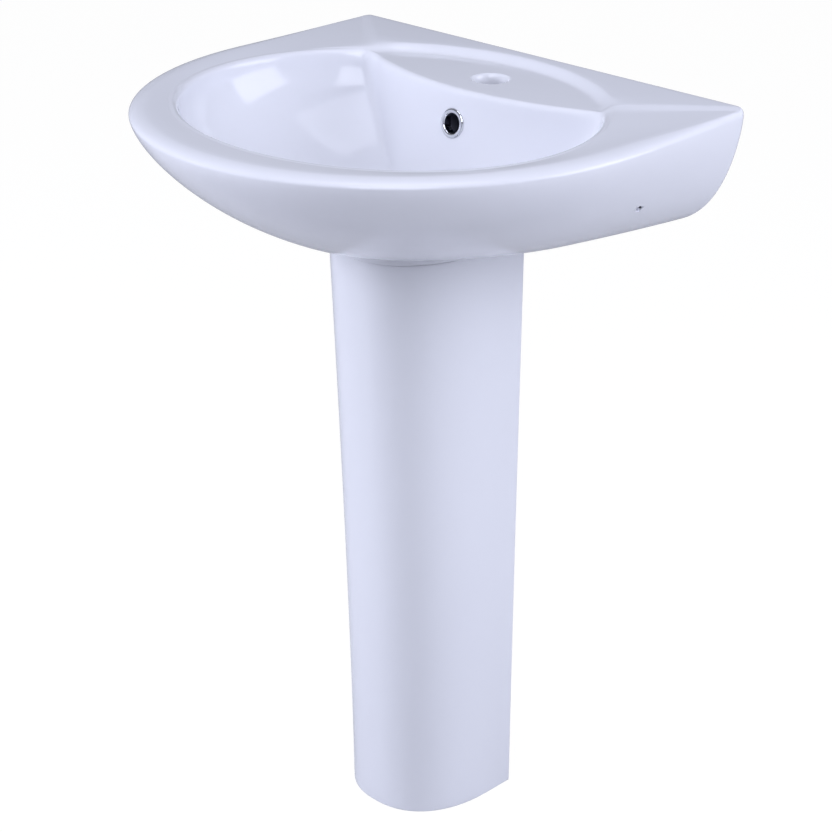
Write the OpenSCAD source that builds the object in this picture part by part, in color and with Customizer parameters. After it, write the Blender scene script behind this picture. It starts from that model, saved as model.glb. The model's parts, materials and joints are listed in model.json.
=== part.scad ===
// Pedestal sink: a D-shaped wash basin of vitreous china on a hollow china pedestal,
// with its overflow ring, push-to-close waste and bottle trap.
// +Z is up, +Y points to the wall and the floor is at z = 0.

/* [Overall] */
// Height of the back deck above the floor
overall_h = 810; // [780:5:880]
// Width of the basin at its widest line
basin_w = 550; // [520:2:600]
// Width of the basin where it meets the wall
back_w = 538; // [500:2:560]
// Distance from the wall to the front of the basin
basin_d = 480; // [460:5:520]
// Height from the back deck down to the foot of the basin's collar
basin_h = 150; // [146:1:175]

/* [Rim and deck] */
// Distance from the wall to the basin's widest line
widest_d = 190; // [170:5:210]
// Corner radius of the basin at the wall, seen from above
back_corner_r = 12; // [10:1:16]
// Width of the rounded rim edge at the front and sides
rim_edge_w = 19; // [14:1:24]
// Width of the rounded rim edge at the wall
back_edge_w = 4; // [3:1:6]
// Depth of the rounded rim edge
rim_edge_h = 7; // [4:0.5:8]
// How far the side and front rim lies below the back deck
side_drop = 2; // [1:0.5:4]
// How far the bowl's lip lies below the back deck at the sides and front
lip_drop = 4.5; // [3:0.5:7]
// Thickness of the deck
deck_t = 13; // [12:0.5:15]
// Thickness of the china walls
china_t = 9; // [7:0.5:10]

/* [Bowl] */
// Width of the bowl opening
bowl_w = 444; // [420:2:450]
// Distance from the wall to the widest line of the bowl
bowl_widest_d = 232; // [222:2:240]
// Distance from the wall to the front of the bowl opening
bowl_front_d = 422; // [400:2:425]
// Length of the bowl oval behind its widest line
bowl_back_len = 200; // [194:1:206]
// Depth of the bowl below the back deck
bowl_depth = 120; // [112:1:122]
// Radius of the rounded lip of the bowl
lip_r = 6; // [3:0.5:6.5]
// Fullness of the bowl's front wall
bowl_front_power = 2.2; // [1.8:0.1:2.4]
// Fullness of the bowl's back wall
bowl_back_power = 1.2; // [1:0.1:1.4]

/* [Tap ledge] */
// How far the tap ledge lies below the back deck
ledge_drop = 8; // [6:0.5:10]
// Distance from the wall to the middle of the ledge's front edge
ledge_front_d = 134; // [128:1:138]
// Half width of the ledge at its two pointed ends
ledge_half_w = 163; // [150:1:170]
// How far the ledge's front edge bows forward of its ends
ledge_bow = 38; // [30:1:42]
// Width of the soft step behind the ledge
step_w = 16; // [12:1:18]
// Width of the soft step that runs from the bowl to each back corner
crease_w = 16; // [12:1:20]
// Radius of the tap hole
tap_hole_r = 17.5; // [16:0.5:18]
// Distance from the wall to the tap hole
tap_hole_d = 81; // [76:1:86]
// Width of the eased edge of the tap hole
tap_hole_ease = 3; // [1:0.5:4]

/* [Flank and collar] */
// Height from the back deck to the top of the collar
flank_h = 139; // [134:1:140]
// Fullness of the flank at the front: across it, and down it
flank_front_across = 1.4; // [1.2:0.05:1.8]
flank_front_down = 1.4; // [1.2:0.05:1.5]
// Fullness of the flank at the wall: across it, and down it
flank_back_across = 4.4; // [4:0.1:5.2]
flank_back_down = 1.45; // [1.2:0.05:1.6]
// How fast the flank changes from the one to the other
flank_fade = 2.3; // [2:0.1:2.8]
// Radius of the hollow curve between flank and collar
collar_fillet_r = 8; // [6:0.5:9]
// Half width of the collar
collar_half_w = 90; // [86:1:94]
// Distance from the wall to the front of the collar
collar_front_d = 285; // [282:1:292]
// Distance from the wall to where the collar starts to curve
collar_curve_d = 150; // [140:5:160]
// Squareness of the collar and pedestal seen from above
collar_power = 2.3; // [2:0.1:2.8]
// Corner radius of the collar at the wall
collar_corner_r = 7; // [6:0.5:10]
// Side vent: radius of the hole in each flank
vent_r = 4; // [3:0.5:5]
// Side vent: distance from the wall
vent_d = 131; // [124:1:136]
// Side vent: depth below the back deck
vent_z = 78; // [70:1:84]
// Side vent: how far the hole turns back towards the wall, in degrees
vent_turn = 55; // [50:1:58]
// Side vent: length of the hole
vent_len = 52; // [46:1:60]

/* [Wall holes] */
// Distance between the two wall fixing holes
wall_hole_gap = 280; // [240:5:300]
// Radius of the wall fixing holes
wall_hole_r = 7; // [6:0.5:8]
// Depth of the wall fixing holes below the back deck
wall_hole_z = 75; // [65:1:80]

/* [Overflow] */
// Depth of the overflow below the back deck
overflow_z = 44; // [42:1:50]
// Radius of the overflow hole
overflow_r = 12; // [11:0.5:12.5]
// Radius of the overflow ring's face
overflow_face_r = 15.5; // [14.5:0.5:17]
// Thickness of the overflow ring's face
overflow_face_t = 2; // [1.5:0.1:2.4]
// Wall of the overflow ring
overflow_wall = 1.6; // [1.2:0.1:2]
// Length of the overflow ring's sleeve
overflow_sleeve = 8; // [6:0.5:9]
// Radius of the overflow channel
channel_r = 8; // [7:0.5:8.5]
// Wall of the overflow channel
channel_wall = 4.5; // [4:0.5:5]
// How far the overflow channel comes forward for each mm that it goes down
channel_slope = 0.24; // [0.18:0.01:0.26]
// Radius of the port from the channel into the waste hole
port_r = 7; // [5:0.5:8]

/* [Waste] */
// Distance from the wall to the waste
waste_d = 205; // [202:1:212]
// Radius of the waste hole
waste_hole_r = 23; // [22.7:0.1:23.4]
// Radius of the bowl's flat floor round the waste
floor_r = 38; // [36:1:42]
// Radius of the recess that takes the waste flange
recess_r = 34; // [33:0.5:35]
// Depth of that recess
recess_t = 2.5; // [2:0.1:3]
// Height of the boss round the waste hole
boss_h = 30; // [28:1:31]
// Radius of the waste flange
flange_r = 32; // [30:0.5:32.5]
// Thickness of the waste flange
flange_t = 2.5; // [2:0.1:3]
// Outer radius of the waste tube
tube_r = 20.9; // [20.6:0.1:21.2]
// Inner radius of the waste tube
tube_bore_r = 18.5; // [18:0.1:18.7]
// Length of the waste tube below its flange
tube_len = 75; // [72:1:80]
// Thickness of the seal below the flange
flange_seal_t = 1.5; // [1:0.1:2]
// Thickness of the tapered washer below the basin
cone_washer_t = 8; // [7:0.5:9]
// Thickness of the slip washer
slip_washer_t = 1.5; // [1:0.1:2]
// Thickness of the back nut
back_nut_t = 9; // [8:0.5:10]
// Width of the back nut across its flats
back_nut_af = 52; // [50:1:54]
// Width of the overflow slots in the waste tube
slot_w = 12; // [10:0.5:13]
// Height of the overflow slots in the waste tube
slot_h = 15; // [13:0.5:16]

/* [Plug] */
// Radius of the plug cap
cap_r = 28; // [26:0.5:29]
// Height of the plug cap
cap_h = 6; // [5:0.5:7]
// Travel of the plug between open and closed
plug_travel = 8; // [7:0.5:9]
// Radius of the plug stem
stem_r = 3; // [2.6:0.1:3.2]
// Outer radius of the plug's barrel
barrel_r = 7.5; // [7.3:0.1:8]
// Inner radius of the plug's barrel
barrel_bore_r = 5; // [4.8:0.1:5.2]
// Length of the plug's barrel
barrel_len = 30; // [28:1:32]
// Radius of the spring wire
spring_wire_r = 0.6; // [0.4:0.05:0.6]
// Turns of the spring
spring_turns = 5; // [4:1:5]

/* [Trap] */
// Radius of the trap's bottle
bottle_r = 34; // [32:0.5:35]
// Height of the trap's cup
cup_h = 70; // [60:1:80]
// Height of the trap's head
head_h = 56; // [54:1:62]
// Wall of the trap
trap_wall = 2.6; // [2.2:0.1:3]
// Radius of the pipe that the trap's outlet takes
pipe_r = 16; // [15.8:0.1:16.2]
// Radius of the trap's nuts
trap_nut_r = 27; // [26.5:0.5:29]
// Height of the trap's nuts
trap_nut_h = 20; // [19:0.5:22]

/* [Pedestal] */
// Half width of the pedestal at its head
pedestal_top_half_w = 86; // [84:0.5:87]
// Half width of the pedestal at its foot
pedestal_foot_half_w = 80; // [74:0.5:82]
// Distance from the wall to the front of the pedestal's head
pedestal_top_front_d = 281; // [278:0.5:282]
// Distance from the wall to the front of the pedestal's foot
pedestal_foot_front_d = 256; // [250:1:262]
// Distance from the wall to the pedestal's open back
pedestal_back_d = 118; // [108:1:120]
// How strongly the pedestal flares towards its head
pedestal_flare = 1.4; // [1:0.1:1.8]
// Share of the pedestal's depth that is straight at the sides
pedestal_side_share = 0.26; // [0.2:0.02:0.4]
// Thickness of the pedestal's wall
pedestal_t = 11; // [9:0.5:12]
// Height of the fixing lugs inside the pedestal's foot
lug_h = 14; // [10:1:18]
// Radius of the screw holes in those lugs
lug_hole_r = 4; // [3:0.5:4.5]
// Distance of the screw holes from the pedestal's open back
lug_hole_inset = 14; // [12:1:16]
// Thickness of the rubber pads between pedestal and basin
pad_t = 2; // [1.5:0.1:3]
// Length of the rubber pads
pad_len = 24; // [18:1:30]

/* [Fit] */
// Gap between pieces that screw or slip together
fit_gap = 0.1; // [0.05:0.01:0.15]
// Running clearance of the plug's stem
run_gap = 0.05; // [0.03:0.01:0.08]
// Gap between pieces that only lie side by side
loose_gap = 0.3; // [0.2:0.05:0.5]

/* [Hidden] */
$fn = 96;
china = [0.90, 0.91, 0.95];
chrome = [0.78, 0.80, 0.83];
brass = [0.80, 0.66, 0.32];
rubber = [0.12, 0.12, 0.13];
white_plastic = [0.93, 0.93, 0.91];
steel = [0.62, 0.63, 0.65];
// A cut runs this far past the face that it opens
past = 1;

// Grid of the basin: intervals from the middle of the back to the middle of the front
back_n = 8;
corner_n = 4;
side_n = 6;
front_n = 18;
half_n = back_n + corner_n + side_n + front_n;
bowl_rings = 8;
flank_rings = 9;

wall_y = basin_d / 2;
half_w = basin_w / 2;
back_half_w = back_w / 2;
waste_y = wall_y - waste_d;

function mix(a, b, t) = a + (b - a) * t;
function smooth(t) = t * t * (3 - 2 * t);
function clamp01(t) = min(1, max(0, t));
function unit(v) = v / norm(v);

// Half outlines are lists of [x, distance from the wall], from the middle of the back
// round to the middle of the front. All of them have half_n intervals, so they loft.
function rim_outline() = concat(
    [for (k = [0 : back_n]) [(back_half_w - back_corner_r) * k / back_n, 0]],
    [for (k = [1 : corner_n]) let (a = 90 * k / corner_n)
        [back_half_w - back_corner_r * (1 - sin(a)), back_corner_r * (1 - cos(a))]],
    [for (k = [1 : side_n]) let (t = k / side_n)
        [mix(back_half_w, half_w, sin(90 * t)), mix(back_corner_r, widest_d, t)]],
    [for (k = [1 : front_n]) let (a = 90 * k / front_n)
        [half_w * cos(a), widest_d + (basin_d - widest_d) * sin(a)]]);

// Angle on the bowl's oval of the ledge's pointed end, and the half width in degrees
// of the soft step that starts there
ledge_end_a = acos(ledge_half_w / (bowl_w / 2));
crease_a = crease_w / bowl_back_len * 180 / PI / 2;

function oval_point(a) = [bowl_w / 2 * cos(a), bowl_widest_d - bowl_back_len * sin(a)];
function side_of_bowl() = concat(
    [for (k = [1 : side_n]) oval_point((ledge_end_a - crease_a) * (1 - k / side_n))],
    [for (k = [1 : front_n]) let (a = 90 * k / front_n)
        [bowl_w / 2 * cos(a), bowl_widest_d + (bowl_front_d - bowl_widest_d) * sin(a)]]);
function oval_outline() = concat(
    [for (k = [0 : back_n]) oval_point(90 - (90 - ledge_end_a - crease_a) * k / back_n)],
    [for (k = [1 : corner_n]) oval_point(ledge_end_a + crease_a - 2 * crease_a * k / corner_n)],
    side_of_bowl());

// The opening of the bowl: the ledge's bowed front edge, a tight corner, then the oval
function ledge_edge(x) = [x, ledge_front_d - ledge_bow * pow(x / ledge_half_w, 2)];
function corner_curve(a, b, c, t) = a * pow(1 - t, 2) + b * 2 * t * (1 - t) + c * pow(t, 2);
function opening_outline() = let (last = ledge_half_w - crease_w) concat(
    [for (k = [0 : back_n]) ledge_edge(last * k / back_n)],
    [for (k = [1 : corner_n]) corner_curve(
        ledge_edge(last), oval_point(ledge_end_a), oval_point(ledge_end_a - crease_a), k / corner_n)],
    side_of_bowl());

// The collar's outline, or the same line moved in by t
function collar_outline(t) = let (
    w = collar_half_w - t, front = collar_front_d - t,
    r = collar_corner_r - t / 2) concat(
    [for (k = [0 : back_n]) [(w - r) * k / back_n, t]],
    [for (k = [1 : corner_n]) let (a = 90 * k / corner_n)
        [w - r * (1 - sin(a)), t + r * (1 - cos(a))]],
    [for (k = [1 : side_n]) [w, mix(t + r, collar_curve_d, k / side_n)]],
    [for (k = [1 : front_n]) let (a = 90 * k / front_n) [
        w * pow(cos(a), 2 / collar_power),
        collar_curve_d + (front - collar_curve_d) * pow(sin(a), 2 / collar_power)]]);

rim = rim_outline();
oval = oval_outline();
opening = opening_outline();
collar = collar_outline(0);

// 1 along the wall and round the back corner, falling to 0 at the widest line
function backness(k) = smooth(clamp01(1 - rim[k][1] / widest_d));
// 0 along the wall, 1 along the side and front, with a soft step between the two
function frontness(k) = smooth(clamp01((k - back_n) / corner_n));
function deck_z(k) = -side_drop * frontness(k);
function lip_z(k) = mix(-ledge_drop, -lip_drop, frontness(k));
function edge_w(k) = mix(rim_edge_w, back_edge_w, k <= back_n ? 1 : backness(k));

// Moves a half outline inwards by a width for each of its points
function inward(h, k) = let (
    before = k > 0 ? h[k - 1] : [-h[1][0], h[1][1]],
    after = k < half_n ? h[k + 1] : [-h[half_n - 1][0], h[half_n - 1][1]],
    along = unit(after - before)) [-along[1], along[0]];
function inset(h, widths) = [for (k = [0 : half_n]) let (p = h[k] + inward(h, k) * widths[k])
    [k == 0 || k == half_n ? 0 : p[0], p[1]]];
function same(v) = [for (k = [0 : half_n]) v];

// A whole ring of points from a half outline and its heights below the back deck
function ring(h, z) = concat(
    [for (k = [0 : half_n]) [h[k][0], wall_y - h[k][1], overall_h + z[k]]],
    [for (k = [half_n - 1 : -1 : 1]) [-h[k][0], wall_y - h[k][1], overall_h + z[k]]]);

// Bowl wall at the share g of its depth: each point moves from the opening to the waste
bowl_centre = [0, waste_d];
// Angles round the waste, from the wall: where the back wall's curve starts to change
// into the front wall's, and how long that takes
bowl_side_a = 50;
bowl_blend_a = 70;
// How late the wall turns in towards the waste
bowl_turn = 1.8;
function bowl_power(k) = let (v = opening[k] - bowl_centre, a = atan2(v[0], -v[1]))
    mix(bowl_back_power, bowl_front_power, smooth(clamp01((a - bowl_side_a) / bowl_blend_a)));
function bowl_share(k, g) = 1 - pow(1 - pow(g, bowl_turn), 1 / bowl_power(k));
function bowl_half(g, out) = [for (k = [0 : half_n]) let (
    v = opening[k] - bowl_centre,
    reach = mix(norm(v), floor_r, bowl_share(k, g)) + out) bowl_centre + unit(v) * reach];
function bowl_heights(g, down) = [for (k = [0 : half_n])
    mix(lip_z(k) - lip_r, -bowl_depth, g) - down];
function bowl_ring(g) = ring(bowl_half(g, 0), bowl_heights(g, 0));

// Flank at the share s of the way in from the rim to its foot, where the hollow curve to
// the collar begins
function wider_collar(r) = let (wide = inset(collar, [for (k = [0 : half_n]) -r * frontness(k)]))
    [for (k = [0 : half_n]) [wide[k][0], max(wide[k][1], collar[k][1])]];
flank_foot = wider_collar(collar_fillet_r);
function fullness(k) = pow(max(0, 1 - rim[k][1] / basin_d), flank_fade);
function flank_across(k) = mix(flank_front_across, flank_back_across, fullness(k));
function flank_down(k) = mix(flank_front_down, flank_back_down, fullness(k));
function flank_drop(k, s) = pow(1 - pow(1 - s, flank_across(k)), 1 / flank_down(k));
function flank_half(s) = [for (k = [0 : half_n]) mix(rim[k], flank_foot[k], s)];
function flank_heights(s, up) = [for (k = [0 : half_n])
    mix(deck_z(k) - rim_edge_h, -flank_h, flank_drop(k, s)) + up];

// Hollow curve between flank and collar, as angles of a quarter round
function fillet_ring(a) = ring(
    wider_collar(collar_fillet_r * (1 - sin(a))),
    same(-flank_h - collar_fillet_r * (1 - cos(a))));

// Lip of the bowl and rounded rim edge, as angles of a quarter round
function lip_ring(a) = ring(
    inset(opening, same(-lip_r * (1 - cos(a)))),
    [for (k = [0 : half_n]) lip_z(k) - lip_r * (1 - sin(a))]);
function rim_ring(a) = ring(
    inset(rim, [for (k = [0 : half_n]) edge_w(k) * (1 - sin(a))]),
    [for (k = [0 : half_n]) deck_z(k) - rim_edge_h * (1 - cos(a))]);

// The ledge and the soft step behind it. Beside the bowl these rings close up to fine
// steps outside the lip.
function ledge_ring(t, drop_share, step) = ring(
    [for (k = [0 : half_n]) let (
        lip = opening[k] - inward(opening, k) * lip_r,
        beside = opening[k] - inward(opening, k) * (lip_r + step),
        behind = t <= 1 ? mix(lip, oval[k], t) : oval[k] - inward(oval, k) * step_w * (t - 1))
        mix(behind, beside, frontness(k))],
    [for (k = [0 : half_n]) mix(mix(-ledge_drop, 0, drop_share), -lip_drop, frontness(k))]);

collar_in = collar_outline(china_t);
under_z = -bowl_depth - china_t;
under_edge = bowl_half(1, china_t);

basin_rings = concat(
    [for (j = [0 : bowl_rings]) bowl_ring(1 - pow(j / bowl_rings, 1.6))],
    [lip_ring(45), lip_ring(90)],
    [ledge_ring(0.5, 0, 0.7), ledge_ring(1, 0, 1.4), ledge_ring(1.3, 0.25, 2.1),
     ledge_ring(1.7, 0.75, 2.8), ledge_ring(2, 1, 3.5)],
    [rim_ring(0), rim_ring(30), rim_ring(60)],
    [for (j = [0 : flank_rings]) let (s = pow(j / flank_rings, 2.2))
        ring(flank_half(s), flank_heights(s, 0))],
    [fillet_ring(30), fillet_ring(60), fillet_ring(90)],
    [ring(collar, same(-basin_h)), ring(collar_in, same(-basin_h))],
    [ring(collar_in, same(under_z)), ring(under_edge, same(under_z))]);

// The hollow between the bowl and the wall, open below inside the collar, for the tap's
// fixings, the pipes and the wall bolts. Its outline at each level keeps china_t of wall.
corner_k = back_n + corner_n;
roof_z = -ledge_drop - deck_t;
function flank_share(k, z) = let (
    drop = clamp01((deck_z(k) - rim_edge_h - z) / (flank_h - rim_edge_h + deck_z(k))))
    1 - pow(1 - pow(drop, flank_down(k)), 1 / flank_across(k));
function flank_out(k, z) = mix(rim[k], flank_foot[k], flank_share(k, z));
function flank_in(k, z) = flank_out(k, z - china_t) - [china_t, 0];
function bowl_out(k, z) = let (
    drop = clamp01((lip_z(k) - lip_r - z) / (bowl_depth + lip_z(k) - lip_r)),
    thick = mix(1.2, 1.8, frontness(k)) * mix(1, 1.8, drop) * china_t)
    bowl_half(drop, 0)[k] - inward(opening, k) * thick;
function hollow_half(z) = concat(
    [[0, china_t], [flank_in(corner_k, z)[0], china_t]],
    [for (k = [corner_k + 1 : corner_k + 3]) flank_in(k, z)],
    [for (t = [1 : 4]) mix(flank_in(corner_k + 3, z), bowl_out(corner_k - 1, z), t / 5)],
    [for (k = [corner_k - 1 : -1 : 0]) bowl_out(k, z)]);
hollow_n = len(hollow_half(roof_z));
mouth_d = waste_d - floor_r - china_t;
mouth_inset = 1;
mouth_w = collar_half_w - china_t - mouth_inset;
mouth_back_d = china_t + mouth_inset;
function hollow_mouth() = concat(
    [[0, mouth_back_d], [mouth_w, mouth_back_d]],
    [for (t = [1 : 3]) [mouth_w, mix(mouth_back_d, mouth_d, t / 3)]],
    [for (k = [1 : hollow_n - 5]) [mouth_w * (1 - k / (hollow_n - 5)), mouth_d]]);
function level(h, z) = let (n = len(h) - 1) concat(
    [for (p = h) [p[0], wall_y - p[1], overall_h + z]],
    [for (k = [n - 1 : -1 : 1]) [-h[k][0], wall_y - h[k][1], overall_h + z]]);
hollow_levels = concat(
    [for (t = [0 : 0.125 : 1]) let (z = mix(roof_z, -flank_h + 2 * china_t, t))
        level(hollow_half(z), z)],
    [for (up = [1.5, -1.5]) level(hollow_mouth(), under_z + up * mouth_inset)]);

// Joins stacked rings of equal length into one closed solid with flat ends
module loft(rings, centre_y) {
    n = len(rings[0]);
    m = len(rings);
    first_mid = n * m;
    last_mid = n * m + 1;
    function centre(r) = [0, centre_y, r[0][2]];
    points = concat([for (r = rings) each r], [centre(rings[0]), centre(rings[m - 1])]);
    sides = [for (j = [0 : m - 2], i = [0 : n - 1])
        let (a = j * n + i, b = j * n + (i + 1) % n)
        each [[a, b + n, b], [a, a + n, b + n]]];
    ends = [for (i = [0 : n - 1])
        each [[first_mid, i, (i + 1) % n],
              [last_mid, (m - 1) * n + (i + 1) % n, (m - 1) * n + i]]];
    polyhedron(points = points, faces = concat(sides, ends));
}

module basin_shell() {
    loft(basin_rings, waste_y);
}

module hollow() {
    loft(hollow_levels, wall_y - 1.5 * china_t);
}

// Place and lean of the bowl's back wall at a depth below the deck. The overflow sits
// square on the wall there.
function back_wall_d(z) = ledge_front_d + (waste_d - floor_r - ledge_front_d)
    * bowl_share(0, (z - ledge_drop - lip_r) / (bowl_depth - ledge_drop - lip_r));
overflow_d = back_wall_d(overflow_z);
overflow_lean = atan2(back_wall_d(overflow_z + 5) - back_wall_d(overflow_z - 5), 10);

boss_bottom = overall_h - bowl_depth - recess_t - boss_h;
recess_z = overall_h - bowl_depth - recess_t;

module at_waste(z) {
    translate([0, waste_y, z]) children();
}

// Puts children on the bowl's back wall with +Z pointing out of the wall, to the front
module at_overflow() {
    translate([0, wall_y - overflow_d, overall_h - overflow_z])
        rotate([90 - overflow_lean, 0, 0]) children();
}

// A round bar between two points in the plane x = 0, given as [distance from wall, z]
module bar(a, b, r) {
    run = b - a;
    translate([0, wall_y - a[0], a[1]])
        rotate([atan2(run[0], run[1]), 0, 0]) cylinder(r = r, h = norm(run));
}

// The side vents leave the flank at this distance from the middle
vent_x = lookup(vent_d, [for (k = [corner_k : corner_k + side_n])
    let (p = flank_out(k, -vent_z)) [p[1], p[0]]]);

// Overflow channel: it runs down behind the bowl from the overflow to the waste boss
port_z = boss_bottom + boss_h * 0.6;
channel_gap = 1;
channel_top = [overflow_d - china_t - channel_r - channel_gap, overall_h - overflow_z];
channel_foot = [channel_top[0] + channel_slope * (channel_top[1] - port_z), port_z];
function on_channel(t) = mix(channel_top, channel_foot, t);

module basin_wet_side() {
    at_waste(boss_bottom) cylinder(r = floor_r - loose_gap, h = boss_h);
    bar(on_channel(-0.26), on_channel(1.08), overflow_r + channel_wall);
    port(port_r + channel_wall);
}

module port(r) {
    translate([0, waste_y, port_z]) rotate([-90, 0, 0])
        cylinder(r = r, h = waste_d - channel_foot[0]);
}

module basin_holes() {
    at_waste(boss_bottom - past) cylinder(r = waste_hole_r, h = boss_h + 2 * past);
    at_waste(recess_z) cylinder(r = recess_r, h = recess_t + past);
    bar(on_channel(-0.05), on_channel(1), channel_r);
    port(port_r);
    at_overflow() {
        translate([0, 0, -china_t - 1.5 * channel_r])
            cylinder(r = overflow_r, h = china_t + 1.5 * channel_r + past);
        cylinder(r = overflow_face_r + loose_gap, h = 5 * overflow_face_t);
    }
    translate([0, wall_y - tap_hole_d, overall_h - ledge_drop]) {
        translate([0, 0, -deck_t - past]) cylinder(r = tap_hole_r, h = deck_t + 2 * past);
        translate([0, 0, -tap_hole_ease])
            cylinder(r1 = tap_hole_r, r2 = tap_hole_r + 2 * tap_hole_ease, h = 2 * tap_hole_ease);
    }
    for (x = [-0.5, 0.5] * wall_hole_gap)
        translate([x, wall_y + past, overall_h - wall_hole_z]) rotate([90, 0, 0])
            cylinder(r = wall_hole_r, h = china_t + 2 * past);
    for (side = [0, 1]) mirror([side, 0, 0])
        translate([vent_x, wall_y - vent_d, overall_h - vent_z]) rotate([0, 90, -vent_turn])
            translate([0, 0, -vent_len]) cylinder(r = vent_r, h = vent_len + 3 * vent_r);
}

module basin() {
    color(china) difference() {
        union() {
            difference() {
                basin_shell();
                hollow();
            }
            basin_wet_side();
        }
        basin_holes();
    }
}

// Pedestal: a half oval with straight sides, open at the back, lofted from foot to head
pedestal_n = 12;
pedestal_levels = 6;
pedestal_h = overall_h - basin_h - pad_t;
function pedestal_line(w, front, t) = let (
    curve_d = pedestal_back_d + (front - pedestal_back_d) * pedestal_side_share) concat(
    [[w - t, pedestal_back_d]],
    [for (k = [0 : pedestal_n]) let (a = 90 * k / pedestal_n) [
        (w - t) * pow(cos(a), 2 / collar_power),
        curve_d + (front - t - curve_d) * pow(sin(a), 2 / collar_power)]]);
function both_sides(h) = let (n = len(h) - 1) concat(
    [for (p = h) p], [for (k = [n - 1 : -1 : 0]) [-h[k][0], h[k][1]]]);
function flare(u) = pow(u, pedestal_flare);
function pedestal_half_w(u) = mix(pedestal_foot_half_w, pedestal_top_half_w, flare(u));
function pedestal_front(u) = mix(pedestal_foot_front_d, pedestal_top_front_d, flare(u));
function pedestal_ring(u) = let (
    w = pedestal_half_w(u), front = pedestal_front(u),
    outer = both_sides(pedestal_line(w, front, 0)),
    inner = both_sides(pedestal_line(w, front, pedestal_t)), n = len(inner) - 1) concat(
    [for (p = outer) [p[0], wall_y - p[1], pedestal_h * u]],
    [for (k = [n : -1 : 0]) [inner[k][0], wall_y - inner[k][1], pedestal_h * u]]);

module pedestal_wall() {
    rings = [for (j = [pedestal_levels : -1 : 0]) pedestal_ring(j / pedestal_levels)];
    n = len(rings[0]);
    half = n / 2;
    m = len(rings);
    points = [for (r = rings) each r];
    sides = [for (j = [0 : m - 2], i = [0 : n - 1])
        let (a = j * n + i, b = j * n + (i + 1) % n)
        each [[a, b + n, b], [a, a + n, b + n]]];
    // The ends are a strip between the outer and the inner line
    head = [for (i = [0 : half - 2]) let (p = n - 1 - i) each [[i, i + 1, p - 1], [i, p - 1, p]]];
    last = (m - 1) * n;
    foot = [for (i = [0 : half - 2]) let (p = n - 1 - i)
        each [[last + i, last + p - 1, last + i + 1], [last + i, last + p, last + p - 1]]];
    polyhedron(points = points, faces = concat(sides, head, foot));
}

lug_d = pedestal_back_d + lug_hole_inset;
lug_x = pedestal_foot_half_w - pedestal_t - lug_hole_inset;
module pedestal() {
    color(china) difference() {
        union() {
            pedestal_wall();
            for (side = [-1, 1])
                translate([side * lug_x, wall_y - lug_d, 0]) {
                    cylinder(r = lug_hole_inset, h = lug_h);
                    translate([side > 0 ? 0 : -lug_hole_inset - pedestal_t / 2, -lug_hole_inset, 0])
                        cube([lug_hole_inset + pedestal_t / 2, 2 * lug_hole_inset, lug_h]);
                }
        }
        for (side = [-1, 1])
            translate([side * lug_x, wall_y - lug_d, -past])
                cylinder(r = lug_hole_r, h = lug_h + 2 * past);
    }
}

// Rubber pads where the basin's collar and the pedestal's head face each other: one on
// each side and one at the front
pad_side_w = pedestal_top_half_w - (collar_half_w - china_t);
pad_front_w = pedestal_top_front_d - (collar_front_d - china_t);
module seat_pads() {
    color(rubber) {
        for (side = [-1, 1]) pad(
            side * (pedestal_top_half_w - pad_side_w / 2), wall_y - collar_curve_d, pad_side_w, pad_len);
        pad(0, wall_y - pedestal_top_front_d + pad_front_w / 2, pad_len, pad_front_w);
    }
}

module pad(x, y, size_x, size_y) {
    translate([x - size_x / 2, y - size_y / 2, pedestal_h]) cube([size_x, size_y, pad_t]);
}

module overflow_ring() {
    bore_r = overflow_r - fit_gap - overflow_wall;
    t = overflow_face_t;
    color(chrome) at_overflow() rotate_extrude() polygon(concat(
        [[bore_r, -overflow_sleeve], [overflow_r - fit_gap, -overflow_sleeve],
         [overflow_r - fit_gap, 0], [overflow_face_r, 0]],
        [for (a = [15 : 15 : 90]) [overflow_face_r - t * (1 - cos(a)), t * sin(a)]],
        [for (a = [90 : -15 : 0]) [bore_r + t * (1 - cos(a)), t * sin(a)]]));
}

flange_z = recess_z + flange_seal_t;
tube_foot = flange_z - tube_len;
cup_r = waste_hole_r - loose_gap;
plug_seal_r = tube_bore_r + 0.8;
seal_h = 3;
slot_top = recess_z - 5;

module waste_body() {
    cup_depth = 8;
    cone_h = 4;
    mouth_r = plug_seal_r + loose_gap;
    color(chrome) difference() {
        at_waste(0) {
            rotate_extrude() polygon([
                [tube_bore_r, tube_foot], [tube_r, tube_foot],
                [tube_r, flange_z - cup_depth - cone_h], [cup_r, flange_z - cup_depth],
                [cup_r, flange_z], [flange_r, flange_z], [flange_r, flange_z + flange_t * 0.4],
                [flange_r - 2, flange_z + flange_t], [mouth_r + 1, flange_z + flange_t],
                [mouth_r, flange_z + flange_t - 1], [mouth_r, flange_z - 1],
                [tube_bore_r, flange_z - cup_depth]]);
            translate([0, 0, hub_z]) {
                tube(hub_r, barrel_r + fit_gap, hub_h);
                for (a = [0, 90, 180, 270]) rotate([0, 0, a])
                    translate([(hub_r + barrel_r) / 2, -1, 0])
                        cube([tube_bore_r - barrel_r, 2, hub_h]);
            }
        }
        for (a = [0, 90]) at_waste(slot_top - slot_h) rotate([0, 0, a])
            translate([-slot_w / 2, -tube_r - past, 0])
                cube([slot_w, 2 * (tube_r + past), slot_h]);
    }
}

module tube(r_out, r_in, h) {
    difference() {
        cylinder(r = r_out, h = h);
        translate([0, 0, -past]) cylinder(r = r_in, h = h + 2 * past);
    }
}

module flange_seal() {
    color(rubber) at_waste(recess_z) tube(flange_r - 1, waste_hole_r, flange_seal_t);
}

cone_z = boss_bottom - cone_washer_t;
slip_z = cone_z - slip_washer_t;
nut_z = slip_z - back_nut_t;
washer_in_r = tube_r + fit_gap;

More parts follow.
